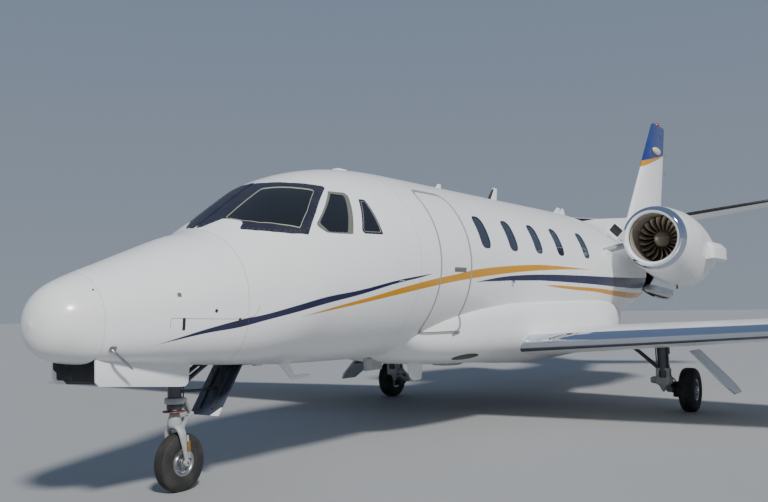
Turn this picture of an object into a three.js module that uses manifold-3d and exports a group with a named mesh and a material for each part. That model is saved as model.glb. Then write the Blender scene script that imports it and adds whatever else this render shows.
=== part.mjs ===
// A twin-engined business jet, parked on its landing gear. Millimetres, +Z up, ground at Z = 0.
// +X is the aircraft's left wing, -Y is the nose.
// A station is a distance aft of the datum, just ahead of the nose.
import * as THREE from "three";
import { mergeVertices } from "three/addons/utils/BufferGeometryUtils.js";
import Module from "manifold-3d";

const wasm = await Module();
wasm.setup();

// Overall sizes
const LENGTH = 15790;
const SPAN = 17170;
const HEIGHT = 5230;
const WHEEL_BASE = 6680;
const TRACK = 4540;

// Fits between pieces
const GAP = 0.3;
const CLEAR = 6;
const HINGE_PIN = 5;
const PIN_REACH = CLEAR - GAP;

// Stations of the nose tip and of the joints between the fuselage sections
const NOSE_TIP = 160;
const RADOME_END = 500;
const NOSE_END = 1620;
const COCKPIT_END = 3700;
const CABIN_END = 9400;
const TAIL_END = 15300;

// Fuselage walls and floors
const WALL = 90;
const TAIL_WALL = 55;
const BULKHEAD = 60;
const BAY_END = 14700;
const COCKPIT_FLOOR = 1250;
const CABIN_FLOOR = 1080;
const FLOOR_THICKNESS = 30;

// Outer sections of the fuselage: station, top, bottom, half width, height of the widest line
const HULL = [
  [NOSE_TIP, 1340, 1320, 10, 1330],
  [180, 1432, 1228, 102, 1330],
  [225, 1520, 1146, 188, 1333],
  [290, 1585, 1098, 250, 1338],
  [380, 1636, 1068, 300, 1346],
  [520, 1692, 1048, 350, 1358],
  [750, 1772, 1032, 415, 1378],
  [1100, 1895, 1008, 510, 1420],
  [1400, 1995, 985, 585, 1460],
  [1580, 2042, 972, 622, 1490],
  [1750, 2138, 960, 658, 1520],
  [2050, 2330, 942, 726, 1575],
  [2330, 2495, 928, 792, 1625],
  [2600, 2600, 915, 838, 1675],
  [2950, 2690, 905, 885, 1730],
  [3350, 2755, 897, 922, 1785],
  [3780, 2785, 891, 944, 1825],
  [4100, 2790, 890, 950, 1840],
  [9350, 2790, 890, 950, 1840],
  [9900, 2790, 925, 945, 1850],
  [10600, 2785, 1030, 915, 1890],
  [11400, 2770, 1200, 850, 1960],
  [12300, 2745, 1430, 745, 2060],
  [13200, 2705, 1680, 610, 2170],
  [14100, 2650, 1930, 455, 2280],
  [14900, 2585, 2140, 300, 2360],
  [TAIL_END, 2530, 2270, 170, 2400],
];
const HULL_SIDES = 32;

// Belly and wing root fairing: station, half width, height above and below its widest line
const FAIRING = [
  [3880, 520, 30, 130],
  [4300, 705, 110, 355],
  [4700, 800, 180, 410],
  [5300, 880, 235, 445],
  [6000, 935, 250, 475],
  [7300, 975, 250, 550],
  [8600, 975, 250, 530],
  [9400, 930, 235, 450],
  [9900, 840, 200, 350],
  [10350, 660, 110, 215],
  [10700, 380, 20, 60],
];
const FAIRING_WIDEST = 1190;
const FAIRING_FULLNESS = 3;
const FAIRING_SIDES = 24;

// Wing sections: distance out from the centre, leading edge station, chord, height, thickness ratio
const WING_ROOT_X = 500;
const WING = [
  [WING_ROOT_X, 6030, 3260, 925, 0.105],
  [3300, 6200, 2485, 1078, 0.1],
  [8380, 6510, 1060, 1371, 0.095],
  [8530, 6560, 935, 1380, 0.08],
  [SPAN / 2, 6720, 640, 1383, 0.05],
];
const FOIL_STEPS = 8;
const FLAP = { inner: 1080, outer: 5560, hinge: 0.74, swings: [-9, -18, -27, -35] };
const AILERON = { inner: 5640, outer: 8230, hinge: 0.76, swings: [-20, 20] };

// Fin sections: height, leading edge station, chord, thickness ratio
const FIN_TOP = 5196;
const FIN = [
  [2450, 12620, 2600, 0.085],
  [3080, 13170, 2210, 0.085],
  [5100, 14945, 990, 0.085],
  [5165, 15010, NOSE_TIP + LENGTH - 15010, 0.07],
  [FIN_TOP, 15120, 800, 0.03],
];
const RUDDER = { inner: 3330, outer: 4930, hinge: 0.7, swings: [-22, -11, 11, 22] };
const DORSAL_HALF = 42;
const DORSAL = [
  [10550, 2700],
  [14000, 2700],
  [14000, 3900],
  [13350, 3290],
  [12300, 2960],
  [11300, 2830],
];

// Stabilizer sections: distance out, leading edge station, chord, height, thickness ratio
const STABILIZER = [
  [0, 13430, 1540, 2940, 0.09],
  [1600, 13985, 1170, 3170, 0.09],
  [3200, 14540, 790, 3399, 0.08],
  [3275, 14640, 640, 3409, 0.05],
];
const ELEVATOR = { inner: 190, outer: 3140, hinge: 0.68, swings: [-18, 6, 10, 14, 18] };

// Engines: axis, and nacelle sections: station, radius to the top, bottom, outboard and inboard
const ENGINE_X = 1600;
const ENGINE_Z = 2330;
const LIP_FRONT = 9045;
const LIP_END = 9200;
const NACELLE_END = 12300;
const NACELLE = [
  [LIP_END, 458, 458, 458, 458],
  [9500, 500, 512, 500, 495],
  [9900, 522, 562, 522, 512],
  [10500, 525, 585, 525, 515],
  [11100, 500, 560, 505, 495],
  [11700, 450, 490, 462, 450],
  [NACELLE_END, 375, 388, 385, 378],
];
const POD = [
  [11000, 2020, 60, 90],
  [11500, 1985, 130, 190],
  [12000, 1935, 120, 195],
  [12420, 1905, 70, 110],
];
const POD_Z = 2275;
const DUCT_RADIUS = 350;
const THROAT_RADIUS = 337;
const NOZZLE_RADIUS = 318;
const FAN_STATION = 9620;
const FAN_RADIUS = 338;
const FAN_HUB_RADIUS = 105;
const FAN_BLADES = 16;
const VANE_HALF = 8;
const VANE_ROOT = 86;
const PYLON = { inner: 600, outer: 1300, z: 2330, front: 9120, back: 12180, thickness: 0.068 };

// Glazing, drawn in station and height, or in plan for the windscreen
const PANE_THICKNESS = 14;
const PANE_RECESS = 2;
const WINDSCREEN = [
  [30, 1640],
  [345, 1775],
  [540, 1985],
  [690, 2285],
  [595, 2580],
  [490, 2785],
  [362, 2585],
  [233, 2452],
  [30, 2392],
];
const SIDE_WINDOW_FRONT = [[2420, 2100], [2500, 2040], [2765, 2040], [2970, 2432], [2790, 2440]];
const SIDE_WINDOW_REAR = [[2890, 2060], [3165, 2068], [3133, 2386], [3055, 2386]];
const CABIN_WINDOW = { width: 232, bottom: 2022, top: 2384, corner: 95 };
const CABIN_WINDOW_STATIONS = [5130, 5850, 6585, 7300, 8250];
const OPPOSITE_DOOR_STATION = 4400;

// Doors
const CABIN_DOOR = { front: 4083, back: 4705, bottom: 1140, top: 2578, corner: 110 };
const BAGGAGE = { front: 11300, back: 12200, bottomFront: 1600, bottomBack: 1690, top: 2110, corner: 60 };
const BAGGAGE_OPEN = 102;
const BAGGAGE_END_GAP = 16;
const CABIN_DOOR_HINGE = { x: 805, z: 1132, doorFront: 4560, doorBack: 4640, back: 4680, radius: 10 };
const BAGGAGE_HINGE = { out: 8, drop: 4, radius: 10, end: 60, leaf: 90, leafRadius: 5, inset: 3 };

// Landing gear
const NOSE_AXLE_STATION = 1503;
const NOSE_STRUT_STATION = 1452;
const NOSE_WHEEL = { radius: 228.5, half: 56, bead: 104, rimHalf: 47, axle: 16 };
const MAIN_AXLE_STATION = NOSE_AXLE_STATION + WHEEL_BASE;
const MAIN_WHEEL = { radius: 279.5, half: 98, bead: 128, rimHalf: 80, axle: 28 };
const MAIN_LEG_X = TRACK / 2 - 240;
const MAIN_LEG_STATION = 7880;
const NOSE_WELL = { half: 240, back: 2150, roof: 1330, backRoof: 1180 };
const NOSE_DOOR = {
  x: NOSE_WELL.half - GAP - 9,
  half: 9,
  front: RADOME_END + 8,
  back: 1385,
  frontTop: 1130,
  backTop: 1026,
  frontBottom: 906,
  backBottom: 836,
};
const JACK = {
  noseStation: 2420,
  noseBottom: 885,
  wingX: 1450,
  wingStation: 7250,
  wingBottom: 745,
  radius: 45,
};
const WHEEL_SIDES = 24;
const ENGINE_SIDES = 24;
const CORE_SIDES = 16;

const COLOURS = {
  paint: [0xf2f3f4, 0.2, 0.1],
  chrome: [0xdfe3e8, 0.08, 1],
  metal: [0x8d9096, 0.35, 0.9],
  dark: [0x23262b, 0.5, 0.4],
  rubber: [0x1a1a1b, 0.85, 0],
  glass: [0x14181d, 0.06, 0],
  trim: [0xb9b2a5, 0.7, 0],
  leather: [0xc8b89c, 0.6, 0],
};

const aft = (station) => station - NOSE_TIP - LENGTH / 2;
const vec = (x, station, z) => new THREE.Vector3(x, aft(station), z);

// A closed geometry becomes a solid with its faces pointing outwards
function solidOf(geometry) {
  const bare = geometry.clone();
  bare.deleteAttribute("normal");
  bare.deleteAttribute("uv");
  const merged = mergeVertices(bare, 1e-3);
  const place = merged.attributes.position;
  const index = merged.index.array;
  const triangles = [];
  let volume = 0;
  const [p, q, r] = [new THREE.Vector3(), new THREE.Vector3(), new THREE.Vector3()];
  for (let i = 0; i < index.length; i += 3) {
    const [a, b, c] = [index[i], index[i + 1], index[i + 2]];
    if (a === b || b === c || a === c) continue;
    triangles.push(a, b, c);
    p.fromBufferAttribute(place, a);
    q.fromBufferAttribute(place, b);
    r.fromBufferAttribute(place, c);
    volume += p.dot(q.cross(r));
  }
  if (volume < 0) {
    for (let i = 0; i < triangles.length; i += 3) {
      [triangles[i], triangles[i + 1]] = [triangles[i + 1], triangles[i]];
    }
  }
  return new wasm.Manifold(
    new wasm.Mesh({
      numProp: 3,
      vertProperties: new Float32Array(place.array),
      triVerts: new Uint32Array(triangles),
    }),
  );
}

function geometryOf(solid) {
  const mesh = solid.getMesh();
  const geometry = new THREE.BufferGeometry();
  geometry.setAttribute("position", new THREE.BufferAttribute(new Float32Array(mesh.vertProperties), 3));
  geometry.setIndex(new THREE.BufferAttribute(new Uint32Array(mesh.triVerts), 1));
  return geometry;
}

function moved(solid, matrix) {
  return solidOf(geometryOf(solid).applyMatrix4(matrix));
}

const mirrored = (solid) => moved(solid, new THREE.Matrix4().makeScale(-1, 1, 1));

const join = (first, ...rest) => rest.reduce((sum, piece) => sum.add(piece), first);
const cut = (first, ...rest) => rest.reduce((left, piece) => left.subtract(piece), first);

// A box between two x, two stations and two heights
function block(x0, x1, front, back, z0, z1) {
  const geometry = new THREE.BoxGeometry(x1 - x0, back - front, z1 - z0);
  geometry.translate((x0 + x1) / 2, aft((front + back) / 2), (z0 + z1) / 2);
  return solidOf(geometry);
}

const slab = (front, back) => block(-SPAN, SPAN, front, back, -HEIGHT, 2 * HEIGHT);

// A round or tapered bar between two points
function bar(from, to, radius, endRadius = radius, sides = 12) {
  const along = new THREE.Vector3().subVectors(to, from);
  const geometry = new THREE.CylinderGeometry(endRadius, radius, along.length(), sides);
  const upwards = new THREE.Vector3(0, 1, 0);
  const turn = new THREE.Quaternion().setFromUnitVectors(upwards, along.clone().normalize());
  geometry.applyQuaternion(turn);
  geometry.translate((from.x + to.x) / 2, (from.y + to.y) / 2, (from.z + to.z) / 2);
  return solidOf(geometry);
}

// A ring or disc turned about the line x, z along the stations, from [radius, station] points
function turned(profile, x, z, sides) {
  const points = profile.map(([radius, station]) => new THREE.Vector2(radius, aft(station)));
  const geometry = new THREE.LatheGeometry(points, sides);
  geometry.translate(x, 0, z);
  return solidOf(geometry);
}

// A wheel piece turned about the X axis through its own centre, from [radius, x] points
function wheelPiece(profile) {
  const points = profile.map(([radius, x]) => new THREE.Vector2(radius, x));
  const geometry = new THREE.LatheGeometry(points, WHEEL_SIDES);
  geometry.rotateZ(-Math.PI / 2);
  geometry.rotateX(Math.PI / WHEEL_SIDES);
  return solidOf(geometry);
}

// Corners moved inwards by inset and rounded, as points of a closed outline
function outline(corners, corner = 0, inset = 0) {
  const points = corners.map(([u, v]) => new THREE.Vector2(u, v));
  const turning = THREE.ShapeUtils.area(points) > 0 ? 1 : -1;
  const edges = points.map((point, i) => {
    const along = points[(i + 1) % points.length].clone().sub(point).normalize();
    const inward = new THREE.Vector2(-along.y, along.x).multiplyScalar(turning * inset);
    return { start: point.clone().add(inward), along };
  });
  const rounded = [];
  edges.forEach((edge, i) => {
    const before = edges[(i + edges.length - 1) % edges.length];
    const turn = before.along.cross(edge.along);
    const reach = edge.start.clone().sub(before.start).cross(edge.along) / turn;
    const tip = before.start.clone().addScaledVector(before.along, reach);
    const trim = Math.max(corner - inset, 0) * Math.tan(Math.acos(before.along.dot(edge.along)) / 2);
    if (trim < 1) {
      rounded.push(tip);
      return;
    }
    const enter = tip.clone().addScaledVector(before.along, -trim);
    const leave = tip.clone().addScaledVector(edge.along, trim);
    rounded.push(...new THREE.QuadraticBezierCurve(enter, tip, leave).getPoints(3));
  });
  return rounded;
}

// An outline of stations and heights, carried from one x to another
function across(points, x0, x1) {
  const shape = new THREE.Shape(points.map((point) => new THREE.Vector2(aft(point.x), point.y)));
  const geometry = new THREE.ExtrudeGeometry(shape, { depth: x1 - x0, bevelEnabled: false });
  const axes = [new THREE.Vector3(0, 1, 0), new THREE.Vector3(0, 0, 1), new THREE.Vector3(1, 0, 0)];
  geometry.applyMatrix4(new THREE.Matrix4().makeBasis(...axes));
  geometry.translate(x0, 0, 0);
  return solidOf(geometry);
}

// An outline of x and stations, carried from one height to another
function upright(points, z0, z1) {
  const shape = new THREE.Shape(points.map((point) => new THREE.Vector2(point.x, aft(point.y))));
  const geometry = new THREE.ExtrudeGeometry(shape, { depth: z1 - z0, bevelEnabled: false });
  geometry.translate(0, 0, z0);
  return solidOf(geometry);
}

// A skin through rings of equal point count, with its two ends closed, triangulated alike on both sides
function loft(rings) {
  const count = rings[0].length;
  const points = rings.flat();
  const index = [];
  for (let ring = 0; ring < rings.length - 1; ring++) {
    for (let i = 0; i < count; i++) {
      const a = ring * count + i;
      const b = ring * count + ((i + 1) % count);
      if (points[a].x + points[b].x < 0) index.push(a, b, a + count, b, b + count, a + count);
      else index.push(a, b, b + count, a, b + count, a + count);
    }
  }
  for (const [ring, backwards] of [[0, true], [rings.length - 1, false]]) {
    const middle = points.length;
    const centre = new THREE.Vector3();
    rings[ring].forEach((point) => centre.addScaledVector(point, 1 / count));
    points.push(centre);
    for (let i = 0; i < count; i++) {
      const a = ring * count + i;
      const b = ring * count + ((i + 1) % count);
      index.push(...(backwards ? [b, a, middle] : [a, b, middle]));
    }
  }
  const geometry = new THREE.BufferGeometry().setFromPoints(points);
  geometry.setIndex(index);
  return solidOf(geometry);
}

// A ring across the fuselage: each point's cosine and sine scaled by the radius on its own side
function ring(count, station, x, z, right, left, up, down, fullness = 2) {
  return Array.from({ length: count }, (_, i) => {
    const angle = (2 * Math.PI * i) / count;
    const [cosine, sine] = [Math.cos(angle), Math.sin(angle)];
    const spread = (value) => Math.sign(value) * Math.abs(value) ** (2 / fullness);
    return vec(
      x + spread(cosine) * (cosine > 0 ? left : right),
      station,
      z + spread(sine) * (sine > 0 ? up : down),
    );
  });
}

// The fuselage's outer form, or a form inside it at the given depth
function hull(inset = 0, front = 0, back = TAIL_END) {
  const rows = HULL.filter(([station]) => station >= front && station <= back);
  return loft(
    rows.map(([station, top, bottom, half, widest]) => {
      const [side, up, down] = [half - inset, top - widest - inset, widest - bottom - inset];
      return ring(HULL_SIDES, station, 0, widest, side, side, up, down);
    }),
  );
}

function fairing(grow = 0) {
  return loft(
    FAIRING.map(([station, half, up, down]) =>
      ring(
        FAIRING_SIDES,
        station + (station > 7300 ? grow : -grow),
        0,
        FAIRING_WIDEST,
        half + grow,
        half + grow,
        up + grow,
        down + grow,
        FAIRING_FULLNESS,
      ),
    ),
  );
}

// Points of an aerofoil of unit chord, from the trailing edge over the top and back below
function foil(thickness) {
  const half = (u) => {
    const rise = 0.2969 * Math.sqrt(u) - 0.126 * u - 0.3516 * u ** 2 + 0.2843 * u ** 3 - 0.1036 * u ** 4;
    return 5 * thickness * rise + 0.0016 * u;
  };
  const spots = Array.from({ length: FOIL_STEPS + 1 }, (_, i) => {
    return (1 + Math.cos((Math.PI * i) / FOIL_STEPS)) / 2;
  });
  const top = spots.map((u) => [u, half(u)]);
  const bottom = spots.slice(0, -1).reverse().map((u) => [u, -half(u)]);
  return [...top, ...bottom];
}

// A lifting surface that runs out along x
function spanwise(rows, grow = 0) {
  return loft(
    rows.map(([x, front, chord, z, thickness]) =>
      foil(thickness).map(([u, w]) => {
        return vec(x, front - grow + u * (chord + 2 * grow), z + w * chord + Math.sign(w) * grow);
      }),
    ),
  );
}

// The fin runs up along z
function finForm(grow = 0) {
  return loft(
    FIN.map(([z, front, chord, thickness]) =>
      foil(thickness).map(([u, w]) => {
        return vec(w * chord + Math.sign(w) * grow, front - grow + u * (chord + 2 * grow), z);
      }),
    ),
  );
}

// A row of a table at a distance between its rows
function rowAt(rows, distance) {
  const k = Math.max(rows.findIndex(([start]) => start > distance) - 1, 0);
  const part = (distance - rows[k][0]) / (rows[k + 1][0] - rows[k][0]);
  return rows[k].map((value, column) => value + part * (rows[k + 1][column] - value));
}

// Where a control surface turns: point on the hinge line and half thickness there
function hingeAt(rows, distance, share) {
  const row = rowAt(rows, distance);
  const thickness = row[row.length - 1];
  const [, front, chord] = row;
  const rise = 0.2969 * Math.sqrt(share) - 0.126 * share - 0.3516 * share ** 2;
  const half = (5 * thickness * (rise + 0.2843 * share ** 3 - 0.1036 * share ** 4) + 0.0016 * share) * chord;
  return { distance, station: front + share * chord, height: row.length > 4 ? row[3] : 0, half };
}

const POINT = {
  spanwise: ({ distance, station, height }) => vec(distance, station, height),
  fin: ({ distance, station }) => vec(0, station, distance),
};

// A thin pin along a hinge line, which ends just short of the faces beyond both its ends
function hingePin(from, to, out) {
  const direction = new THREE.Vector3().subVectors(to, from).normalize();
  const square = Math.abs(direction.dot(out));
  const reach = (PIN_REACH - HINGE_PIN * Math.sqrt(1 - square ** 2)) / square;
  const start = from.clone().addScaledVector(direction, -reach);
  return bar(start, to.clone().addScaledVector(direction, reach), HINGE_PIN);
}

// A solid turned about the line between two points, once for each angle in degrees
function swung(solid, from, to, angles) {
  const axis = new THREE.Vector3().subVectors(to, from).normalize();
  return angles.map((angle) => {
    const turn = new THREE.Matrix4().makeTranslation(from.x, from.y, from.z);
    turn.multiply(new THREE.Matrix4().makeRotationAxis(axis, THREE.MathUtils.degToRad(angle)));
    turn.multiply(new THREE.Matrix4().makeTranslation(-from.x, -from.y, -from.z));
    return moved(solid, turn);
  });
}

// Splits a rudder, elevator or aileron off its surface, with a round nose in a cove that clears its swing
function splitSurface(surface, grown, rows, control, kind) {
  const inner = hingeAt(rows, control.inner, control.hinge);
  const outer = hingeAt(rows, control.outer, control.hinge);
  const slope = (outer.station - inner.station) / (outer.distance - inner.distance);
  const place = POINT[kind];
  const region = (grow, forward) => {
    const [near, far] = [control.inner - grow, control.outer + grow];
    const line = (distance) => inner.station + slope * (distance - inner.distance) - forward;
    const plan = [[near, line(near)], [far, line(far)], [far, line(far) + 3000], [near, line(near) + 3000]];
    if (kind === "fin") return across(outline(plan.map(([z, station]) => [station, z])), -900, 900);
    return upright(outline(plan), 0, HEIGHT);
  };
  const nose = (grow) => {
    const direction = place(outer).sub(place(inner)).normalize();
    const from = place(inner).addScaledVector(direction, -grow);
    const to = place(outer).addScaledVector(direction, grow);
    return bar(from, to, inner.half + grow, outer.half + grow, 14);
  };
  const out = kind === "fin" ? new THREE.Vector3(0, 0, 1) : new THREE.Vector3(1, 0, 0);
  const pins = hingePin(place(inner), place(outer), out);
  const moving = join(surface.intersect(region(0, 0)), nose(-0.5), pins);
  const swept = swung(grown.intersect(region(CLEAR, 0)), place(inner), place(outer), control.swings);
  const fixed = cut(surface, region(CLEAR, 0), nose(CLEAR), ...swept);
  return { moving, fixed };
}

const pieces = new THREE.Group();

function addPiece(name, solid, colour, position = null) {
  const [tint, roughness, metalness] = COLOURS[colour];
  const material = new THREE.MeshStandardMaterial({ color: tint, roughness, metalness });
  const mesh = new THREE.Mesh(geometryOf(solid), material);
  mesh.name = name;
  if (position) mesh.position.copy(position);
  pieces.add(mesh);
}

// Left pieces are made once and mirrored
function addPair(name, solid, colour) {
  addPiece(`${name}_left`, solid, colour);
  addPiece(`${name}_right`, mirrored(solid), colour);
}

// Openings in the fuselage
const noseWell = join(
  block(-NOSE_WELL.half, NOSE_WELL.half, RADOME_END - 1, NOSE_END + 1, 0, NOSE_WELL.roof),
  block(-NOSE_WELL.half, NOSE_WELL.half, NOSE_END - 1, NOSE_WELL.back, 0, NOSE_WELL.backRoof),
);

const windscreenPrism = (inset) => upright(outline(WINDSCREEN, 0, inset), 1900, 2900);
const frontSidePrism = (inset) => across(outline(SIDE_WINDOW_FRONT, 45, inset), 300, 1200);
const rearSidePrism = (inset) => across(outline(SIDE_WINDOW_REAR, 35, inset), 300, 1200);

function cabinWindowPrism(station) {
  const half = CABIN_WINDOW.width / 2;
  const corners = [
    [station - half, CABIN_WINDOW.bottom],
    [station + half, CABIN_WINDOW.bottom],
    [station + half, CABIN_WINDOW.top],
    [station - half, CABIN_WINDOW.top],
  ];
  return across(outline(corners, CABIN_WINDOW.corner), 300, 1200);
}

function cabinDoorPrism(inset) {
  const { front, back, bottom, top, corner } = CABIN_DOOR;
  const corners = [[front, bottom], [back, bottom], [back, top], [front, top]];
  return across(outline(corners, corner, inset), 250, 1300);
}

function baggagePrism(inset) {
  const { front, back, bottomFront, bottomBack, top, corner } = BAGGAGE;
  const corners = [[front, bottomFront], [back, bottomBack], [back, top], [front, top]];
  return across(outline(corners, corner, inset), 250, 1300);
}

// Fuselage sections
const form = hull();
const grownForm = hull(-GAP);
const grownFairing = fairing(GAP);
const room = hull(WALL, 300, 9350);

function makeNose() {
  addPiece("radome", form.intersect(slab(0, RADOME_END - GAP)), "paint");
  addPiece("nose_section", cut(form.intersect(slab(RADOME_END, NOSE_END - GAP)), noseWell), "paint");
}

function makeCockpit() {
  const space = block(-SPAN, SPAN, NOSE_END + BULKHEAD, COCKPIT_END + 50, COCKPIT_FLOOR, HEIGHT);
  const inside = room.intersect(space);
  const leftOpenings = [windscreenPrism(0), frontSidePrism(0), rearSidePrism(0)];
  const openings = [...leftOpenings, ...leftOpenings.map(mirrored)];
  const shell = form.intersect(slab(NOSE_END, COCKPIT_END - GAP));
  const { noseStation, noseBottom, radius } = JACK;
  const jackPad = bar(vec(0, noseStation, 1000), vec(0, noseStation, noseBottom), radius);
  addPiece("cockpit_shell", join(cut(shell, inside, noseWell, ...openings), jackPad), "paint");

  const skin = cut(hull(PANE_RECESS), hull(PANE_RECESS + PANE_THICKNESS));
  addPair("windscreen", skin.intersect(windscreenPrism(GAP)), "glass");
  addPair("side_window_front", skin.intersect(frontSidePrism(GAP)), "glass");
  addPair("side_window_rear", skin.intersect(rearSidePrism(GAP)), "glass");
}

function aerial(front, back, topBack, topFront, z0, z1, half) {
  const corners = [[front, z0], [back, z0], [topBack, z1], [topFront, z1]];
  return across(outline(corners), -half, half);
}

function makeCabin() {
  const inside = room.intersect(slab(COCKPIT_END - 50, CABIN_END - BULKHEAD));
  const windows = CABIN_WINDOW_STATIONS.map(cabinWindowPrism);
  const extraWindow = mirrored(cabinWindowPrism(OPPOSITE_DOOR_STATION));
  const openings = [...windows, ...windows.map(mirrored), extraWindow, cabinDoorPrism(0)];
  const shell = cut(form.intersect(slab(COCKPIT_END, CABIN_END - GAP)), inside, ...openings);
  const aerials = [
    aerial(5450, 5720, 5640, 5560, 2780, 2965, 14),
    aerial(7850, 8150, 8110, 7990, 2780, 2925, 12),
  ];
  addPiece("cabin_shell", join(shell, aerials[0], aerials[1]), "paint");

  const liner = cut(hull(WALL + GAP, 3780, 9350), hull(WALL + 9, 3780, 9350));
  const strip = (front) => block(300, 1000, front, 8520, CABIN_WINDOW.bottom - 45, CABIN_WINDOW.top + 45);
  addPiece("cabin_glazing_left", liner.intersect(strip(4860)), "glass");
  addPiece("cabin_glazing_right", mirrored(liner.intersect(strip(4200))), "glass");

  const inner = hull(WALL + GAP, 3000, 9350);
  const [front, back] = [COCKPIT_END + 40, CABIN_END - BULKHEAD - 2];
  const deck = inner.intersect(block(-SPAN, SPAN, front, back, CABIN_FLOOR - FLOOR_THICKNESS, CABIN_FLOOR));
  addPiece("cabin_floor", deck, "trim");
}

// A seat faces the nose when facing is 1. Its side view is drawn as [distance behind its middle, height].
const SEAT_HALF = 245;
const BACKREST = [[215, 60], [355, 60], [470, 640], [520, 870], [430, 880], [375, 640]];
const ARM_HEIGHT = 230;
const CUSHION_HEIGHT = 130;

function seat(x, station, floor, facing, rise) {
  const along = (points) => outline(points.map(([s, z]) => [station + facing * s, floor + z]));
  const box = (x0, x1, near, far, z0, z1) => {
    return across(along([[near, z0], [far, z0], [far, z1], [near, z1]]), x0, x1);
  };
  const cushion = box(x - SEAT_HALF, x + SEAT_HALF, -260, 240, rise, rise + CUSHION_HEIGHT);
  const back = BACKREST.map(([s, z]) => [s, rise + z]);
  const backrest = across(along(back), x - SEAT_HALF + 15, x + SEAT_HALF - 15);
  const pedestal = box(x - 150, x + 150, -180, 200, 5, rise + 20);
  const arms = [-1, 1].map((side) => {
    const edge = x + side * (SEAT_HALF + 20);
    return box(edge - 30, edge + 30, -200, 235, rise, rise + ARM_HEIGHT);
  });
  return join(pedestal, cushion, backrest, ...arms);
}

function makeSeats() {
  const floor = COCKPIT_FLOOR + GAP;
  const rails = block(-520, 520, 2880, 3340, floor, floor + 20);
  const crew = [-1, 1].map((side) => seat(side * 330, 3060, floor, 1, 260));
  addPiece("crew_seats", join(rails, ...crew), "leather");

  const deck = CABIN_FLOOR + GAP;
  const rows = [[5350, -1], [6500, 1], [7000, -1], [8150, 1]];
  const track = [-470, 470].map((x) => block(x - 160, x + 160, 4900, 8500, deck, deck + 14));
  const bridge = block(-400, 400, 6700, 6800, deck, deck + 14);
  const seats = rows.flatMap(([station, facing]) => {
    return [-1, 1].map((side) => seat(side * 470, station, deck, facing, 250));
  });
  const clearance = hull(WALL + 20, 3000, 9350);
  addPiece("cabin_seats", join(...track, bridge, ...seats).intersect(clearance), "leather");
}

// The instrument panel in side view: station and height
const PANEL_SIDE = [
  [2060, 1560],
  [2300, 1500],
  [2400, 1500],
  [2330, 1950],
  [1980, 2010],
  [1940, 1960],
  [2060, 1900],
];

function makePanel() {
  const shape = across(outline(PANEL_SIDE), -800, 800);
  const pedestal = block(-110, 110, 2180, 2700, COCKPIT_FLOOR + GAP, 1600);
  const clearance = hull(WALL + GAP, 1400, 9350);
  addPiece("instrument_panel", join(shape, pedestal).intersect(clearance), "dark");
}

// Tail cone with the baggage bay in it, open towards the cabin's rear bulkhead
function makeTail() {
  const bay = hull(TAIL_WALL, 9350, 14950).intersect(slab(CABIN_END - 50, BAY_END));
  const shell = form.intersect(slab(CABIN_END, TAIL_END + 1));
  const { from, to } = baggageHinge();
  const along = new THREE.Vector3().subVectors(to, from).normalize();
  const { end, radius } = BAGGAGE_HINGE;
  const knuckles = [
    bar(from, from.clone().addScaledVector(along, end), radius),
    bar(to.clone().addScaledVector(along, -end), to, radius),
  ];
  addPiece("tail_cone", join(cut(shell, bay, baggagePrism(0)), ...knuckles), "paint");
}

// Half width of the fuselage at a station and height
function skinX(station, z) {
  const [, top, bottom, half, widest] = rowAt(HULL, station);
  const reach = z > widest ? top - widest : widest - bottom;
  return half * Math.sqrt(1 - ((z - widest) / reach) ** 2);
}

// The hinge line just outside the lower edge of the baggage door
function baggageHinge() {
  const { front, back, bottomFront, bottomBack } = BAGGAGE;
  const { out, drop } = BAGGAGE_HINGE;
  const from = vec(skinX(front, bottomFront) + out, front, bottomFront - drop);
  const to = vec(skinX(back, bottomBack) + out, back, bottomBack - drop);
  return { from, to };
}

// The baggage door is hinged along its lower edge and stands open
function makeBaggageDoor() {
  const { from, to } = baggageHinge();
  const axis = new THREE.Vector3().subVectors(to, from).normalize();
  const opening = baggagePrism(CLEAR).intersect(slab(0, BAGGAGE.back - BAGGAGE_END_GAP));
  const panel = cut(form, hull(TAIL_WALL)).intersect(opening);
  const { end, leaf, leafRadius, inset } = BAGGAGE_HINGE;
  const leafSide = [[0, 0], [leafRadius, 0], [leafRadius, 30], [-22, 30], [-22, 16], [0, 16]];
  const tabAt = ({ x, y, z }) => leafSide.map(([u, w]) => new THREE.Vector3(x + u, y, z + w));
  const length = from.distanceTo(to);
  const leaves = [end + GAP, length - end - GAP - leaf].map((start) => {
    const at = (reach) => from.clone().addScaledVector(axis, start + reach);
    return join(bar(at(0), at(leaf), leafRadius), loft([tabAt(at(inset)), tabAt(at(leaf - inset))]));
  });
  const [open] = swung(join(panel, ...leaves), from, to, [BAGGAGE_OPEN]);
  addPiece("baggage_door", open, "paint");
}

function makeFairingAndDoor() {
  const { x, z, doorFront, doorBack, back, radius } = CABIN_DOOR_HINGE;
  const lug = block(x - 60, x, doorBack + GAP, back, z - radius, z + 6);
  const fixedKnuckle = bar(vec(x, doorBack + GAP, z), vec(x, back, z), radius);
  const knuckle = bar(vec(x, doorFront, z), vec(x, doorBack, z), radius);
  const [near, far] = [x - radius, x + radius];
  const leafSide = [[near, z], [far, z], [far, z + 34], [x - 50, z + 34], [x - 50, z + 18], [near, z + 18]];
  const leaf = plateAcross(leafSide, doorFront, doorBack);
  const skirt = cut(fairing(), grownForm, cabinDoorPrism(0));
  addPiece("belly_fairing", join(skirt, cut(lug, grownForm), fixedKnuckle), "paint");
  const skin = cut(form, hull(WALL));
  const thick = join(skin, cut(fairing(), hull(WALL)));
  addPiece("cabin_door", join(thick.intersect(cabinDoorPrism(CLEAR)), knuckle, leaf), "paint");
}

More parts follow.
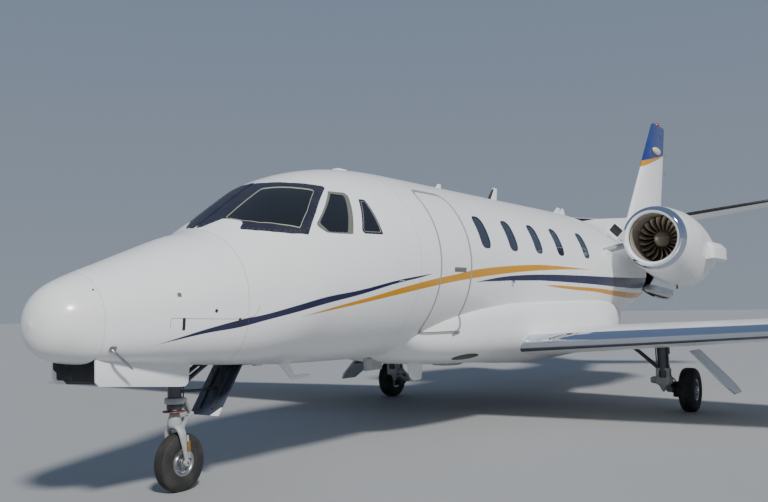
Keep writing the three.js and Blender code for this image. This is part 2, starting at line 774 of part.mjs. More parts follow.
// Wings with flaps and ailerons
function makeWings() {
  const whole = cut(spanwise(WING), grownForm, grownFairing);
  const { moving: aileron, fixed } = splitSurface(whole, spanwise(WING, CLEAR), WING, AILERON, "spanwise");
  const inner = hingeAt(WING, FLAP.inner, FLAP.hinge);
  const outer = hingeAt(WING, FLAP.outer, FLAP.hinge);
  const slope = (outer.station - inner.station) / (FLAP.outer - FLAP.inner);
  const flapRegion = (grow) => {
    const [near, far] = [FLAP.inner - grow, FLAP.outer + grow];
    const line = (x) => inner.station + slope * (x - FLAP.inner) - grow;
    return upright(outline([[near, line(near)], [far, line(far)], [far, 12000], [near, 12000]]), 0, HEIGHT);
  };
  const { wingX, wingStation, wingBottom, radius } = JACK;
  const jackPad = bar(vec(wingX, wingStation, 900), vec(wingX, wingStation, wingBottom), radius);
  const edge = ({ distance, station, height, half }) => vec(distance, station, height - half);
  const thick = spanwise(WING, CLEAR).intersect(flapRegion(CLEAR));
  const swept = swung(thick, edge(inner), edge(outer), FLAP.swings);
  addPair("wing", join(cut(fixed, flapRegion(CLEAR), ...swept), jackPad), "paint");
  const pins = hingePin(edge(inner), edge(outer), new THREE.Vector3(1, 0, 0));
  addPair("flap", join(whole.intersect(flapRegion(0)), pins), "paint");
  addPair("aileron", aileron, "paint");
}

function makeTailSurfaces() {
  const dorsal = across(outline(DORSAL), -DORSAL_HALF, DORSAL_HALF);
  const above = block(-900, 900, 9000, 17000, 2500, HEIGHT);
  const finSurface = cut(join(finForm(), dorsal.intersect(cut(above, finForm(-1)))), grownForm);
  const { moving: rudder, fixed: fin } = splitSurface(finSurface, finForm(CLEAR), FIN, RUDDER, "fin");
  const stabilizerForm = spanwise(STABILIZER);
  const grown = spanwise(STABILIZER, GAP);
  const finCut = cut(fin, grown, mirrored(grown));
  const beacon = turned([[0, 0], [70, 0], [45, 60], [0, 75]], 0, 0, 16);
  const beaconTurn = new THREE.Matrix4().makeTranslation(0, aft(15500), FIN_TOP - 41);
  beaconTurn.multiply(new THREE.Matrix4().makeRotationX(Math.PI / 2));
  beaconTurn.multiply(new THREE.Matrix4().makeTranslation(0, -aft(0), 0));
  addPiece("fin", join(finCut, moved(beacon, beaconTurn)), "paint");
  addPiece("rudder", rudder, "paint");

  const thick = spanwise(STABILIZER, CLEAR);
  const tailplane = splitSurface(stabilizerForm, thick, STABILIZER, ELEVATOR, "spanwise");
  addPiece("stabilizer", join(tailplane.fixed, mirrored(tailplane.fixed)), "paint");
  addPair("elevator", tailplane.moving, "paint");
}

function nacelleForm(grow = 0) {
  const rings = NACELLE.map(([station, ...reaches]) => {
    const [top, bottom, outboard, inboard] = reaches.map((reach) => reach + grow);
    return ring(ENGINE_SIDES, station, ENGINE_X, ENGINE_Z, inboard, outboard, top, bottom);
  });
  const podRings = POD.map(([station, x, half, tall]) =>
    ring(14, station, x, POD_Z, half + grow, half + grow, tall + grow, tall + grow, 2.4),
  );
  return join(loft(rings), loft(podRings));
}

function makeEngines() {
  const duct = turned(
    [
      [0, LIP_END - 100],
      [DUCT_RADIUS, LIP_END - 100],
      [DUCT_RADIUS, 11200],
      [NOZZLE_RADIUS, NACELLE_END + 200],
      [0, NACELLE_END + 200],
    ],
    ENGINE_X,
    ENGINE_Z,
    ENGINE_SIDES,
  );
  addPair("nacelle", cut(nacelleForm(), duct), "paint");

  const lip = turned(
    [
      [DUCT_RADIUS, LIP_END - GAP],
      [THROAT_RADIUS, LIP_FRONT + 95],
      [THROAT_RADIUS + 14, LIP_FRONT + 24],
      [THROAT_RADIUS + 48, LIP_FRONT],
      [THROAT_RADIUS + 94, LIP_FRONT + 34],
      [458, LIP_END - GAP],
      [DUCT_RADIUS, LIP_END - GAP],
    ],
    ENGINE_X,
    ENGINE_Z,
    ENGINE_SIDES,
  );
  addPair("intake_lip", lip, "chrome");

  const spinner = turned(
    [
      [0, FAN_STATION - 270],
      [48, FAN_STATION - 215],
      [FAN_HUB_RADIUS, FAN_STATION - 40],
      [FAN_HUB_RADIUS, FAN_STATION + 50],
      [0, FAN_STATION + 50],
    ],
    ENGINE_X,
    ENGINE_Z,
    CORE_SIDES,
  );
  const blades = Array.from({ length: FAN_BLADES }, (_, i) => {
    const reach = FAN_RADIUS - FAN_HUB_RADIUS + 20;
    const geometry = new THREE.BoxGeometry(7, 104, reach);
    geometry.rotateZ(THREE.MathUtils.degToRad(38));
    geometry.translate(0, 0, FAN_RADIUS - reach / 2);
    geometry.rotateY((2 * Math.PI * i) / FAN_BLADES);
    geometry.translate(ENGINE_X, aft(FAN_STATION), ENGINE_Z);
    return solidOf(geometry);
  });
  addPair("fan", join(spinner, ...blades), "metal");

  const core = turned(
    [
      [0, FAN_STATION + 50 + GAP],
      [90, FAN_STATION + 50 + GAP],
      [130, 9780],
      [215, 10000],
      [235, 10300],
      [235, 11200],
      [190, 11700],
      [150, 12050],
      [60, 12350],
      [0, 12430],
    ],
    ENGINE_X,
    ENGINE_Z,
    CORE_SIDES,
  );
  const vanes = Array.from({ length: 6 }, (_, i) => {
    const tip = DUCT_RADIUS - GAP - VANE_HALF * Math.tan(Math.PI / ENGINE_SIDES);
    const geometry = new THREE.BoxGeometry(2 * VANE_HALF, 130, tip - VANE_ROOT);
    geometry.translate(0, 0, (tip + VANE_ROOT) / 2);
    geometry.rotateY((Math.PI * i) / 3);
    geometry.translate(ENGINE_X, aft(9950), ENGINE_Z);
    return solidOf(geometry);
  });
  addPair("engine_core", join(core, ...vanes), "metal");

  const { inner, outer, z, front, back, thickness } = PYLON;
  const pylon = spanwise([
    [inner, front, back - front, z, thickness],
    [outer, front + 250, back - front - 300, z, thickness],
  ]);
  addPair("pylon", cut(pylon, grownForm, nacelleForm(GAP)), "paint");
}

// A tyre rests on one flat of its outline
const hubHeight = (wheel) => wheel.radius * Math.cos(Math.PI / WHEEL_SIDES);

// A tyre and its wheel, each about its own centre
function wheelSolids({ radius, half, bead, rimHalf, axle }) {
  const seatHalf = rimHalf - 7;
  const tyre = wheelPiece([
    [bead, -seatHalf],
    [bead + 15, -seatHalf],
    [radius * 0.74, -half],
    [radius * 0.93, -half * 0.84],
    [radius, -half * 0.38],
    [radius, half * 0.38],
    [radius * 0.93, half * 0.84],
    [radius * 0.74, half],
    [bead + 15, seatHalf],
    [bead, seatHalf],
    [bead, -seatHalf],
  ]);
  const bore = (axle + GAP) / Math.cos(Math.PI / WHEEL_SIDES);
  const rim = wheelPiece([
    [bore, -rimHalf * 0.6],
    [bore * 1.9, -rimHalf * 0.6],
    [bead * 0.84, -rimHalf * 0.35],
    [bead * 0.88, -rimHalf],
    [bead + 13, -rimHalf],
    [bead + 13, -seatHalf - GAP],
    [bead - GAP, -seatHalf - GAP],
    [bead - GAP, seatHalf + GAP],
    [bead + 13, seatHalf + GAP],
    [bead + 13, rimHalf],
    [bead * 0.88, rimHalf],
    [bead * 0.84, rimHalf * 0.35],
    [bore * 1.9, rimHalf * 0.6],
    [bore, rimHalf * 0.6],
    [bore, -rimHalf * 0.6],
  ]);
  return { tyre, rim };
}

function makeNoseGear() {
  const z = hubHeight(NOSE_WHEEL);
  const s = NOSE_STRUT_STATION;
  const wall = NOSE_WELL.half - GAP;
  const outer = bar(vec(0, s, 640 + GAP), vec(0, s, 1190), 56);
  const trunnion = bar(vec(-wall, s, 1140), vec(wall, s, 1140), 34);
  const brace = bar(vec(0, s + 30, 830), vec(0, 2000, 1110), 24);
  const pin = bar(vec(-wall, 2000, 1110), vec(wall, 2000, 1110), 20);
  addPiece("nose_leg", join(outer, trunnion, brace, pin), "dark");

  const piston = bar(vec(0, s, 500), vec(0, s, 640), 33);
  const crown = block(-102, 102, s - 42, s + 48, 472, 526);
  const arms = [-84, 84].map((x) => bar(vec(x, s, 500), vec(x, NOSE_AXLE_STATION, z), 22, 20));
  const axle = bar(vec(-96, NOSE_AXLE_STATION, z), vec(96, NOSE_AXLE_STATION, z), NOSE_WHEEL.axle);
  const collar = turned([[59, 0], [76, 0], [76, 50], [59, 50], [59, 0]], 0, 0, 24);
  const stand = new THREE.Matrix4().makeTranslation(0, aft(s), 680);
  stand.multiply(new THREE.Matrix4().makeRotationX(Math.PI / 2));
  stand.multiply(new THREE.Matrix4().makeTranslation(0, -aft(0), 0));
  const lowerLink = bar(vec(0, s + 30, 500), vec(0, s + 170, 590), 18);
  const upperLink = bar(vec(0, s + 74, 705), vec(0, s + 170, 590), 18);
  const rest = [...arms, axle, moved(collar, stand), lowerLink, upperLink];
  addPiece("nose_fork", join(piston, crown, ...rest), "metal");

  const { tyre, rim } = wheelSolids(NOSE_WHEEL);
  const hub = vec(0, NOSE_AXLE_STATION, z);
  addPiece("nose_tyre", tyre, "rubber", hub);
  addPiece("nose_rim", rim, "metal", hub);
}

// Doors that hang from the edges of the nose wheel well
function makeNoseDoors() {
  const { x, front, back, frontTop, backTop, frontBottom, backBottom, half } = NOSE_DOOR;
  const side = [[front, frontBottom], [back, backBottom], [back, backTop], [front, frontTop]];
  const hinge = bar(vec(x, front, frontTop), vec(x, back, backTop), half);
  addPair("nose_door", join(across(outline(side), x - half, x + half), hinge), "paint");
  const plate = across(outline([[1760, 560], [1785, 556], [2080, 960], [2055, 968]]), -165, 165);
  const link = block(-30, 30, NOSE_STRUT_STATION, 1935, 745, 785);
  const clearance = bar(vec(0, NOSE_STRUT_STATION, 500), vec(0, NOSE_STRUT_STATION, 1200), 56 + GAP);
  addPiece("nose_strut_door", cut(join(plate, link), clearance), "paint");
}

function makeMainGear() {
  const z = hubHeight(MAIN_WHEEL);
  const wingBelow = spanwise(WING, GAP);
  const x = MAIN_LEG_X;
  const hubX = TRACK / 2;
  const leg = bar(vec(x, 7820, 1000), vec(x, MAIN_LEG_STATION, 410), 52, 58);
  const linkSide = [[7835, 360], [7930, 350], [8225, 235], [8235, 320], [8100, 420], [7850, 470]];
  const link = across(outline(linkSide, 12), x - 42, x + 42);
  const shock = bar(vec(x, 8110, 350), vec(x, 7990, 1000), 36);
  const axle = bar(vec(x, MAIN_AXLE_STATION, z), vec(hubX + 74, MAIN_AXLE_STATION, z), MAIN_WHEEL.axle);
  const brake = bar(vec(x + 40, MAIN_AXLE_STATION, z), vec(hubX - 90, MAIN_AXLE_STATION, z), 104, 104, 24);
  const sideBrace = bar(vec(x, 7870, 520), vec(x - 620, 7900, 1000), 26);
  const gear = cut(join(leg, link, shock, axle, brake, sideBrace), wingBelow);
  addPair("main_leg", gear, "metal");

  const panel = [[2400, 800], [2425, 790], [2920, 290], [2895, 282]];
  const plate = plateAcross(panel, 7660, 8150);
  const rod = bar(vec(x + 30, 7870, 560), vec(2640, 7870, 565), 16);
  const legRoom = bar(vec(x, 7820, 1000), vec(x, MAIN_LEG_STATION, 410), 52 + GAP, 58 + GAP);
  addPair("main_door", cut(join(plate, rod), wingBelow, legRoom), "paint");

  const { tyre, rim } = wheelSolids(MAIN_WHEEL);
  for (const [name, side] of [["left", 1], ["right", -1]]) {
    const hub = vec(side * hubX, MAIN_AXLE_STATION, z);
    addPiece(`main_tyre_${name}`, tyre, "rubber", hub);
    addPiece(`main_rim_${name}`, rim, "metal", hub);
  }
}

// An outline of x and heights, carried from one station to another
function plateAcross(points, front, back) {
  const shape = new THREE.Shape(points.map(([x, z]) => new THREE.Vector2(x, z)));
  const geometry = new THREE.ExtrudeGeometry(shape, { depth: back - front, bevelEnabled: false });
  geometry.rotateX(Math.PI / 2);
  geometry.translate(0, aft(back), 0);
  return solidOf(geometry);
}

makeNose();
makeCockpit();
makeCabin();
makeSeats();
makePanel();
makeTail();
makeBaggageDoor();
makeFairingAndDoor();
makeWings();
makeTailSurfaces();
makeEngines();
makeNoseGear();
makeNoseDoors();
makeMainGear();

export default pieces;
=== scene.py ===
import math

import bpy
from mathutils import Matrix, Vector


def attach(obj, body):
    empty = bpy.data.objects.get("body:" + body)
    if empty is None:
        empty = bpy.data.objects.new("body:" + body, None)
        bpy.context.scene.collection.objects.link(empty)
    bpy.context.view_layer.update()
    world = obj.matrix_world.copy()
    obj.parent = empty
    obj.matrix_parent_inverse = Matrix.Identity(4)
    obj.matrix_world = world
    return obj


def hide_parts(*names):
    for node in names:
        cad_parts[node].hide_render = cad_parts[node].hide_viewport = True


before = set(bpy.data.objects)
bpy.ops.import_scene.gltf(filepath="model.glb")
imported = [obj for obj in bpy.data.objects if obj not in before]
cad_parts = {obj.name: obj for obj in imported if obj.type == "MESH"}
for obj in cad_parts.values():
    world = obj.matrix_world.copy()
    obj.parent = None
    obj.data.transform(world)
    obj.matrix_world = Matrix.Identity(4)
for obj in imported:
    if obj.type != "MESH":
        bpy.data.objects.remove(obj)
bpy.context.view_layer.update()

# Station of the part's origin. Stations run aft from the datum, in metres.
DATUM = 8.055
WHITE = (0.86, 0.87, 0.88, 1)
NAVY = (0.005, 0.008, 0.055, 1)
GOLD = (0.62, 0.28, 0.002, 1)


def at(x, station, z):
    return Vector((x, station - DATUM, z))


# Camera
CAMERA_PLACE = (5.122, -11.466, 1.431)
CAMERA_TURN = math.radians(32.921)
CAMERA_PITCH = math.radians(3.516)
CAMERA_ROLL = math.radians(0.913)
CAMERA_LENS = 40.81

ahead = Vector((
    -math.sin(CAMERA_TURN) * math.cos(CAMERA_PITCH),
    math.cos(CAMERA_TURN) * math.cos(CAMERA_PITCH),
    math.sin(CAMERA_PITCH),
))
level = Vector((math.cos(CAMERA_TURN), math.sin(CAMERA_TURN), 0))
over = level.cross(ahead)
right = level * math.cos(CAMERA_ROLL) - over * math.sin(CAMERA_ROLL)
over = right.cross(ahead)
bpy.ops.object.camera_add(location=CAMERA_PLACE)
camera = bpy.context.object
camera.data.lens = CAMERA_LENS
camera.data.sensor_width = 36
camera.data.clip_end = 500
turn = Matrix((right, over, -ahead)).transposed().to_4x4()
camera.matrix_world = Matrix.Translation(CAMERA_PLACE) @ turn
bpy.context.scene.camera = camera


# Making meshes

def use(obj):
    if bpy.context.object and bpy.context.object.mode != "OBJECT":
        bpy.ops.object.mode_set(mode="OBJECT")
    bpy.ops.object.select_all(action="DESELECT")
    obj.select_set(True)
    bpy.context.view_layer.objects.active = obj


def edit(obj, *steps):
    """Runs editing operators on all of an object's mesh."""
    use(obj)
    bpy.ops.object.mode_set(mode="EDIT")
    bpy.ops.mesh.select_all(action="SELECT")
    for step in steps:
        step()
    bpy.ops.object.mode_set(mode="OBJECT")


def outwards():
    bpy.ops.mesh.select_all(action="SELECT")
    bpy.ops.mesh.remove_doubles(threshold=1e-5)
    bpy.ops.mesh.delete_loose()
    bpy.ops.mesh.select_all(action="SELECT")
    bpy.ops.mesh.normals_make_consistent(inside=False)


def close_ends():
    bpy.ops.mesh.select_all(action="SELECT")
    bpy.ops.mesh.remove_doubles(threshold=1e-5)
    bpy.ops.mesh.select_all(action="SELECT")
    bpy.ops.mesh.fill_holes(sides=0)


def skin(rings, caps=True):
    """A grid wrapped through rings of points. Without caps the last ring meets the first."""
    count = len(rings[0])
    if not caps:
        rings = rings + [rings[0]]
    bpy.ops.object.select_all(action="DESELECT")
    bpy.ops.mesh.primitive_grid_add(x_subdivisions=count, y_subdivisions=len(rings) - 1, size=1)
    obj = bpy.context.object
    flat = []
    for ring in rings:
        for point in [*ring, ring[0]]:
            flat.extend(point)
    obj.data.vertices.foreach_set("co", flat)
    edit(obj, close_ends, outwards)
    return obj


def prism(points, direction):
    """An outline of points carried along a direction into a closed solid."""
    bpy.ops.object.select_all(action="DESELECT")
    bpy.ops.mesh.primitive_circle_add(vertices=len(points), fill_type="NGON")
    obj = bpy.context.object
    flat = [value for point in points for value in point]
    obj.data.vertices.foreach_set("co", flat)
    obj.location = (0, 0, 0)
    edit(
        obj,
        lambda: bpy.ops.mesh.extrude_region_move(TRANSFORM_OT_translate={"value": tuple(direction)}),
        outwards,
    )
    return obj


def drop(*objs):
    for obj in objs:
        bpy.data.objects.remove(obj)


def shape(obj, kind, **values):
    """Adds a modifier and applies it."""
    use(obj)
    modifier = obj.modifiers.new(kind.lower(), kind)
    for key, value in values.items():
        setattr(modifier, key, value)
    bpy.ops.object.modifier_apply(modifier=modifier.name)
    return obj


def carve(obj, tool, operation="DIFFERENCE", keep=False):
    """Cuts a closed solid with another, or joins them, or keeps what they share."""
    shape(obj, "BOOLEAN", operation=operation, object=tool, solver="MANIFOLD")
    if not keep:
        drop(tool)
    return obj


def copy_of(obj):
    use(obj)
    bpy.ops.object.duplicate()
    return bpy.context.object


def flipped(obj):
    """A copy on the aircraft's other side."""
    other = copy_of(obj)
    other.data.transform(Matrix.Scale(-1, 4, Vector((1, 0, 0))))
    other.data.flip_normals()
    return other


def joined(first, *others):
    use(first)
    for obj in others:
        obj.select_set(True)
    bpy.ops.object.join()
    return first


def bevel(obj, width, segments=2, angle=30):
    return shape(
        obj, "BEVEL", width=width, segments=segments, limit_method="ANGLE",
        angle_limit=math.radians(angle)
    )


def tube(start, end, radius, end_radius=None, sides=32, edge=0):
    """A round bar between two points, with softened ends."""
    start, end = Vector(start), Vector(end)
    along = end - start
    bpy.ops.object.select_all(action="DESELECT")
    bpy.ops.mesh.primitive_cone_add(
        vertices=sides, radius1=radius, radius2=radius if end_radius is None else end_radius,
        depth=along.length
    )
    obj = bpy.context.object
    obj.data.transform(Matrix.Translation((start + end) / 2) @ along.to_track_quat("Z",
        "Y").to_matrix().to_4x4())
    if edge:
        bevel(obj, edge)
    return obj


def block(low, high, edge=0, segments=2):
    low, high = Vector(low), Vector(high)
    bpy.ops.object.select_all(action="DESELECT")
    bpy.ops.mesh.primitive_cube_add(size=1)
    obj = bpy.context.object
    size = high - low
    obj.data.transform(Matrix.Translation((low + high) / 2) @ Matrix.Diagonal((*size, 1)))
    if edge:
        bevel(obj, edge, segments)
    return obj


def lathe(profile, centre, axis, sides=64):
    """Spins a closed outline of (radius, distance along the axis) points about the axis."""
    axis = Vector(axis).normalized()
    side = axis.orthogonal().normalized()
    bpy.ops.object.select_all(action="DESELECT")
    bpy.ops.mesh.primitive_circle_add(vertices=len(profile))
    obj = bpy.context.object
    flat = []
    for radius, along in profile:
        flat.extend(Vector(centre) + side * radius + axis * along)
    obj.data.vertices.foreach_set("co", flat)
    edit(
        obj,
        lambda: bpy.ops.mesh.spin(steps=sides, angle=2 * math.pi, center=tuple(centre),
            axis=tuple(axis)),
        outwards,
    )
    return obj


def rounded(corners, radius, inset=0, steps=6):
    """An outline of (u, v) corners, moved inwards and rounded."""
    points = [Vector(corner) for corner in corners]
    area = sum(a.x * b.y - b.x * a.y for a, b in zip(points, points[1:] + points[:1]))
    side = 1 if area > 0 else -1
    edges = []
    for a, b in zip(points, points[1:] + points[:1]):
        along = (b - a).normalized()
        edges.append((a + Vector((-along.y, along.x)) * side * inset, along))
    out = []
    for (start, before), (point, after) in zip(edges[-1:] + edges[:-1], edges):
        cross = before.x * after.y - before.y * after.x
        gap = point - start
        tip = start + before * ((gap.x * after.y - gap.y * after.x) / cross)
        angle = math.acos(max(-1, min(1, before.dot(after))))
        size = max(radius - (inset if cross * side > 0 else 0), 0)
        trim = min(size * math.tan(angle / 2), 0.45 * (b - a).length if len(points) < 3 else 1)
        if trim < 1e-4:
            out.append(tip)
            continue
        enter, leave = tip - before * trim, tip + after * trim
        for k in range(steps + 1):
            t = k / steps
            out.append(enter * (1 - t) ** 2 + tip * 2 * t * (1 - t) + leave * t * t)
    return out


def spread(rows, value):
    """A row of a table at a value between its rows, on a smooth curve that doesn't overshoot."""
    xs = [row[0] for row in rows]
    k = max(min(sum(x <= value for x in xs) - 1, len(xs) - 2), 0)
    width = [b - a for a, b in zip(xs, xs[1:])]
    t = (value - xs[k]) / width[k]
    out = []
    for column in range(1, len(rows[0])):
        ys = [row[column] for row in rows]
        slope = [(b - a) / w for a, b, w in zip(ys, ys[1:], width)]

        def lean(i):
            if i == 0 or i == len(xs) - 1:
                return slope[min(i, len(slope) - 1)]
            before, after = slope[i - 1], slope[i]
            if before * after <= 0:
                return 0
            w1, w2 = 2 * width[i] + width[i - 1], width[i] + 2 * width[i - 1]
            return (w1 + w2) / (w1 / before + w2 / after)

        a, b, h = ys[k], ys[k + 1], width[k]
        out.append(
            (2 * t**3 - 3 * t**2 + 1) * a
            + (t**3 - 2 * t**2 + t) * h * lean(k)
            + (3 * t**2 - 2 * t**3) * b
            + (t**3 - t**2) * h * lean(k + 1)
        )
    return out


def steps_between(first, last, step):
    count = max(2, round((last - first) / step) + 1)
    return [first + (last - first) * i / (count - 1) for i in range(count)]


# Fuselage form: station, top, bottom, half width, height of the widest line
HULL = [
    [0.16, 1.34, 1.32, 0.01, 1.33],
    [0.18, 1.432, 1.228, 0.102, 1.33],
    [0.225, 1.52, 1.146, 0.188, 1.333],
    [0.29, 1.585, 1.098, 0.25, 1.338],
    [0.38, 1.636, 1.068, 0.3, 1.346],
    [0.52, 1.692, 1.048, 0.35, 1.358],
    [0.75, 1.772, 1.032, 0.415, 1.378],
    [1.1, 1.895, 1.008, 0.51, 1.42],
    [1.4, 1.995, 0.985, 0.585, 1.46],
    [1.58, 2.042, 0.972, 0.622, 1.49],
    [1.75, 2.138, 0.96, 0.658, 1.52],
    [2.05, 2.33, 0.942, 0.726, 1.575],
    [2.33, 2.495, 0.928, 0.792, 1.625],
    [2.6, 2.6, 0.915, 0.838, 1.675],
    [2.95, 2.69, 0.905, 0.885, 1.73],
    [3.35, 2.755, 0.897, 0.922, 1.785],
    [3.78, 2.785, 0.891, 0.944, 1.825],
    [4.1, 2.79, 0.89, 0.95, 1.84],
    [8.8, 2.79, 0.89, 0.95, 1.84],
    [9.35, 2.772, 0.89, 0.95, 1.84],
    [9.9, 2.69, 0.925, 0.945, 1.85],
    [10.6, 2.54, 1.03, 0.915, 1.89],
    [11.4, 2.4, 1.2, 0.85, 1.96],
    [12.3, 2.33, 1.43, 0.745, 2.06],
    [13.2, 2.33, 1.68, 0.61, 2.17],
    [14.1, 2.37, 1.93, 0.455, 2.28],
    [14.9, 2.44, 2.14, 0.3, 2.36],
    [15.3, 2.47, 2.27, 0.17, 2.4],
]
RADOME_END = 0.5
NOSE_END = 1.62
COCKPIT_END = 3.7
CABIN_END = 9.4
TAIL_END = 15.3
SEAM = 0.0015
# How far a carved piece stands off the form it sits on
SEATED = 0.0003
HULL_SIDES = 96


def fullness(station):
    """How square the fuselage's lower half is: fuller under the nose, an ellipse elsewhere."""
    share = min(1, max(0, (station - 0.28) / 0.27), max(0, (2.6 - station) / 1.1))
    return 2 + share * share * (3 - 2 * share)


def hull_ring(station, grow=0, sides=HULL_SIDES):
    top, bottom, half, widest = spread(HULL, station)
    power = 2 / fullness(station)
    ring = []
    for i in range(sides):
        angle = 2 * math.pi * i / sides
        cosine, sine = math.cos(angle), math.sin(angle)
        reach = (top - widest if sine > 0 else widest - bottom) + grow
        if sine < 0:
            cosine, sine = math.copysign(abs(cosine) ** power, cosine), -abs(sine) ** power
        ring.append(at(cosine * (half + grow), station, widest + sine * reach))
    return ring


def hull(stations, grow=0, sides=HULL_SIDES):
    return skin([hull_ring(station, grow, sides) for station in stations])


def hull_shell(stations, outer, inner, sides=HULL_SIDES):
    """A tube whose wall lies between two depths of the fuselage form."""
    rings = [hull_ring(station, outer, sides) for station in stations]
    rings += [hull_ring(station, inner, sides) for station in reversed(stations)]
    return skin(rings, caps=False)


def hull_x(station, z, grow=0):
    top, bottom, half, widest = spread(HULL, station)
    reach = (top - widest if z > widest else widest - bottom) + grow
    power = 2 if z > widest else fullness(station)
    return (half + grow) * max(0, 1 - (abs(z - widest) / reach) ** power) ** (1 / power)


def hull_z(x, station, grow=0):
    top, _, half, widest = spread(HULL, station)
    return widest + (top - widest + grow) * math.sqrt(max(0, 1 - (x / (half + grow)) ** 2))


def across(points, x0, x1):
    """A prism from an outline of stations and heights."""
    return prism([at(x0, s, z) for s, z in points], (x1 - x0, 0, 0))


def upright(points, z0, z1):
    """A prism from an outline of x and stations."""
    return prism([at(x, s, z0) for x, s in points], (0, 0, z1 - z0))


def lengthways(points, front, back):
    """A prism from an outline of x and heights."""
    return prism([at(x, front, z) for x, z in points], (0, back - front, 0))


# Materials

def group(name, inputs, outputs):
    tree = bpy.data.node_groups.new(name, "ShaderNodeTree")
    for label, kind, value in inputs:
        socket = tree.interface.new_socket(label, in_out="INPUT", socket_type=kind)
        socket.default_value = value
    for label, kind in outputs:
        tree.interface.new_socket(label, in_out="OUTPUT", socket_type=kind)
    return tree, tree.nodes.new("NodeGroupInput"), tree.nodes.new("NodeGroupOutput")


def node(tree, kind, links=(), **values):
    made = tree.nodes.new(kind)
    for key, value in values.items():
        if key.startswith("in_"):
            made.inputs[int(key[3:])].default_value = value
        else:
            setattr(made, key, value)
    for index, socket in links:
        tree.links.new(socket, made.inputs[index])
    return made


def sums(tree, operation, a, b=None, clamp=False):
    made = node(tree, "ShaderNodeMath", operation=operation, use_clamp=clamp)
    for index, value in ((0, a), (1, b)):
        if value is None:
            continue
        if isinstance(value, (int, float)):
            made.inputs[index].default_value = value
        else:
            tree.links.new(value, made.inputs[index])
    return made.outputs[0]


def mixed(tree, share, a, b):
    made = node(tree, "ShaderNodeMix", data_type="RGBA")
    for index, value in ((0, share), (6, a), (7, b)):
        if isinstance(value, (int, float, tuple)):
            made.inputs[index].default_value = value
        else:
            tree.links.new(value, made.inputs[index])
    return made.outputs[2]


def make_wear():
    """Uneven tone, uneven gloss and fine grain that any finish can take."""
    floats = "NodeSocketFloat"
    tree, start, end = group(
        "wear",
        [
            ("Colour", "NodeSocketColor", (1, 1, 1, 1)),
            ("Soil", "NodeSocketColor", (0.3, 0.28, 0.25, 1)),
            ("Soiling", floats, 0.1),
            ("Soil Size", floats, 1.5),
            ("Roughness", floats, 0.3),
            ("Spread", floats, 0.1),
            ("Grain", floats, 0.05),
            ("Grain Size", floats, 60),
        ],
        [("Colour", "NodeSocketColor"), ("Roughness", floats), ("Normal", "NodeSocketVector")],
    )
    place = node(tree, "ShaderNodeTexCoord").outputs["Object"]
    broad = node(tree, "ShaderNodeTexNoise",
        [("Vector", place), ("Scale", start.outputs["Soil Size"])])
    broad.inputs["Detail"].default_value = 5
    fine = node(tree, "ShaderNodeTexNoise",
        [("Vector", place), ("Scale", start.outputs["Grain Size"])])
    fine.inputs["Detail"].default_value = 3
    stain = node(tree, "ShaderNodeMapRange", [(0, broad.outputs["Fac"])], in_1=0.42, in_2=0.78)
    share = sums(tree, "MULTIPLY", stain.outputs[0], start.outputs["Soiling"])
    tree.links.new(mixed(tree, share, start.outputs["Colour"], start.outputs["Soil"]),
        end.inputs["Colour"])
    swing = sums(tree, "SUBTRACT", broad.outputs["Fac"], 0.5)
    swing = sums(tree, "MULTIPLY", swing, start.outputs["Spread"])
    tree.links.new(sums(tree, "ADD", start.outputs["Roughness"], swing, True),
        end.inputs["Roughness"])
    bump = node(tree, "ShaderNodeBump", [("Height", fine.outputs["Fac"]),
        ("Strength", start.outputs["Grain"])])
    bump.inputs["Distance"].default_value = 0.002
    tree.links.new(bump.outputs[0], end.inputs["Normal"])
    return tree


WEAR = make_wear()


def finish(name, colour, roughness, metallic=0.0, soiling=0.12, soil=(0.2, 0.18, 0.15, 1),
        soil_size=1.5,
        spread_by=0.12, grain=0.05, grain_size=60.0, coat=0.0, paint=None, **sockets):
    """A material whose colour, gloss and surface all pass through the wear group."""
    material = bpy.data.materials.new(name)
    material.use_nodes = True
    tree = material.node_tree
    shader = tree.nodes["Principled BSDF"]
    wear = node(tree, "ShaderNodeGroup", node_tree=WEAR)
    values = {
        "Colour": (*colour[:3], 1), "Soil": soil, "Soiling": soiling, "Soil Size": soil_size,
        "Roughness": roughness, "Spread": spread_by, "Grain": grain, "Grain Size": grain_size,
    }
    for key, value in values.items():
        wear.inputs[key].default_value = value
    if paint:
        tree.links.new(paint(tree), wear.inputs["Colour"])
    tree.links.new(wear.outputs["Colour"], shader.inputs["Base Color"])
    tree.links.new(wear.outputs["Roughness"], shader.inputs["Roughness"])
    tree.links.new(wear.outputs["Normal"], shader.inputs["Normal"])
    shader.inputs["Metallic"].default_value = metallic
    shader.inputs["Coat Weight"].default_value = coat
    shader.inputs["Coat Roughness"].default_value = 0.04
    for key, value in sockets.items():
        shader.inputs[key.replace("_", " ")].default_value = value
    return material


# Livery bands on the fuselage: station, lower edge and upper edge
NAVY_FRONT = [
    (0.83, 1.159, 1.159), (1.063, 1.205, 1.222), (1.269, 1.241, 1.276), (1.55, 1.275, 1.335),
    (1.775, 1.319, 1.37), (2.064, 1.374, 1.431), (2.396, 1.443, 1.503), (2.78, 1.512, 1.557),
    (3.36, 1.628, 1.657), (3.63, 1.668, 1.692), (3.95, 1.726, 1.727),
]
GOLD_FRONT = [
    (2.1, 1.334, 1.334), (2.7, 1.419, 1.453), (3.03, 1.468, 1.513), (3.4, 1.523, 1.583),
    (3.98, 1.603, 1.676), (4.39, 1.652, 1.727), (4.73, 1.686, 1.774), (5.02, 1.713, 1.803),
    (5.54, 1.754, 1.84), (6.13, 1.793, 1.871), (6.54, 1.813, 1.885), (6.99, 1.833, 1.888),
    (7.6, 1.852, 1.883), (8.46, 1.869, 1.869),
]
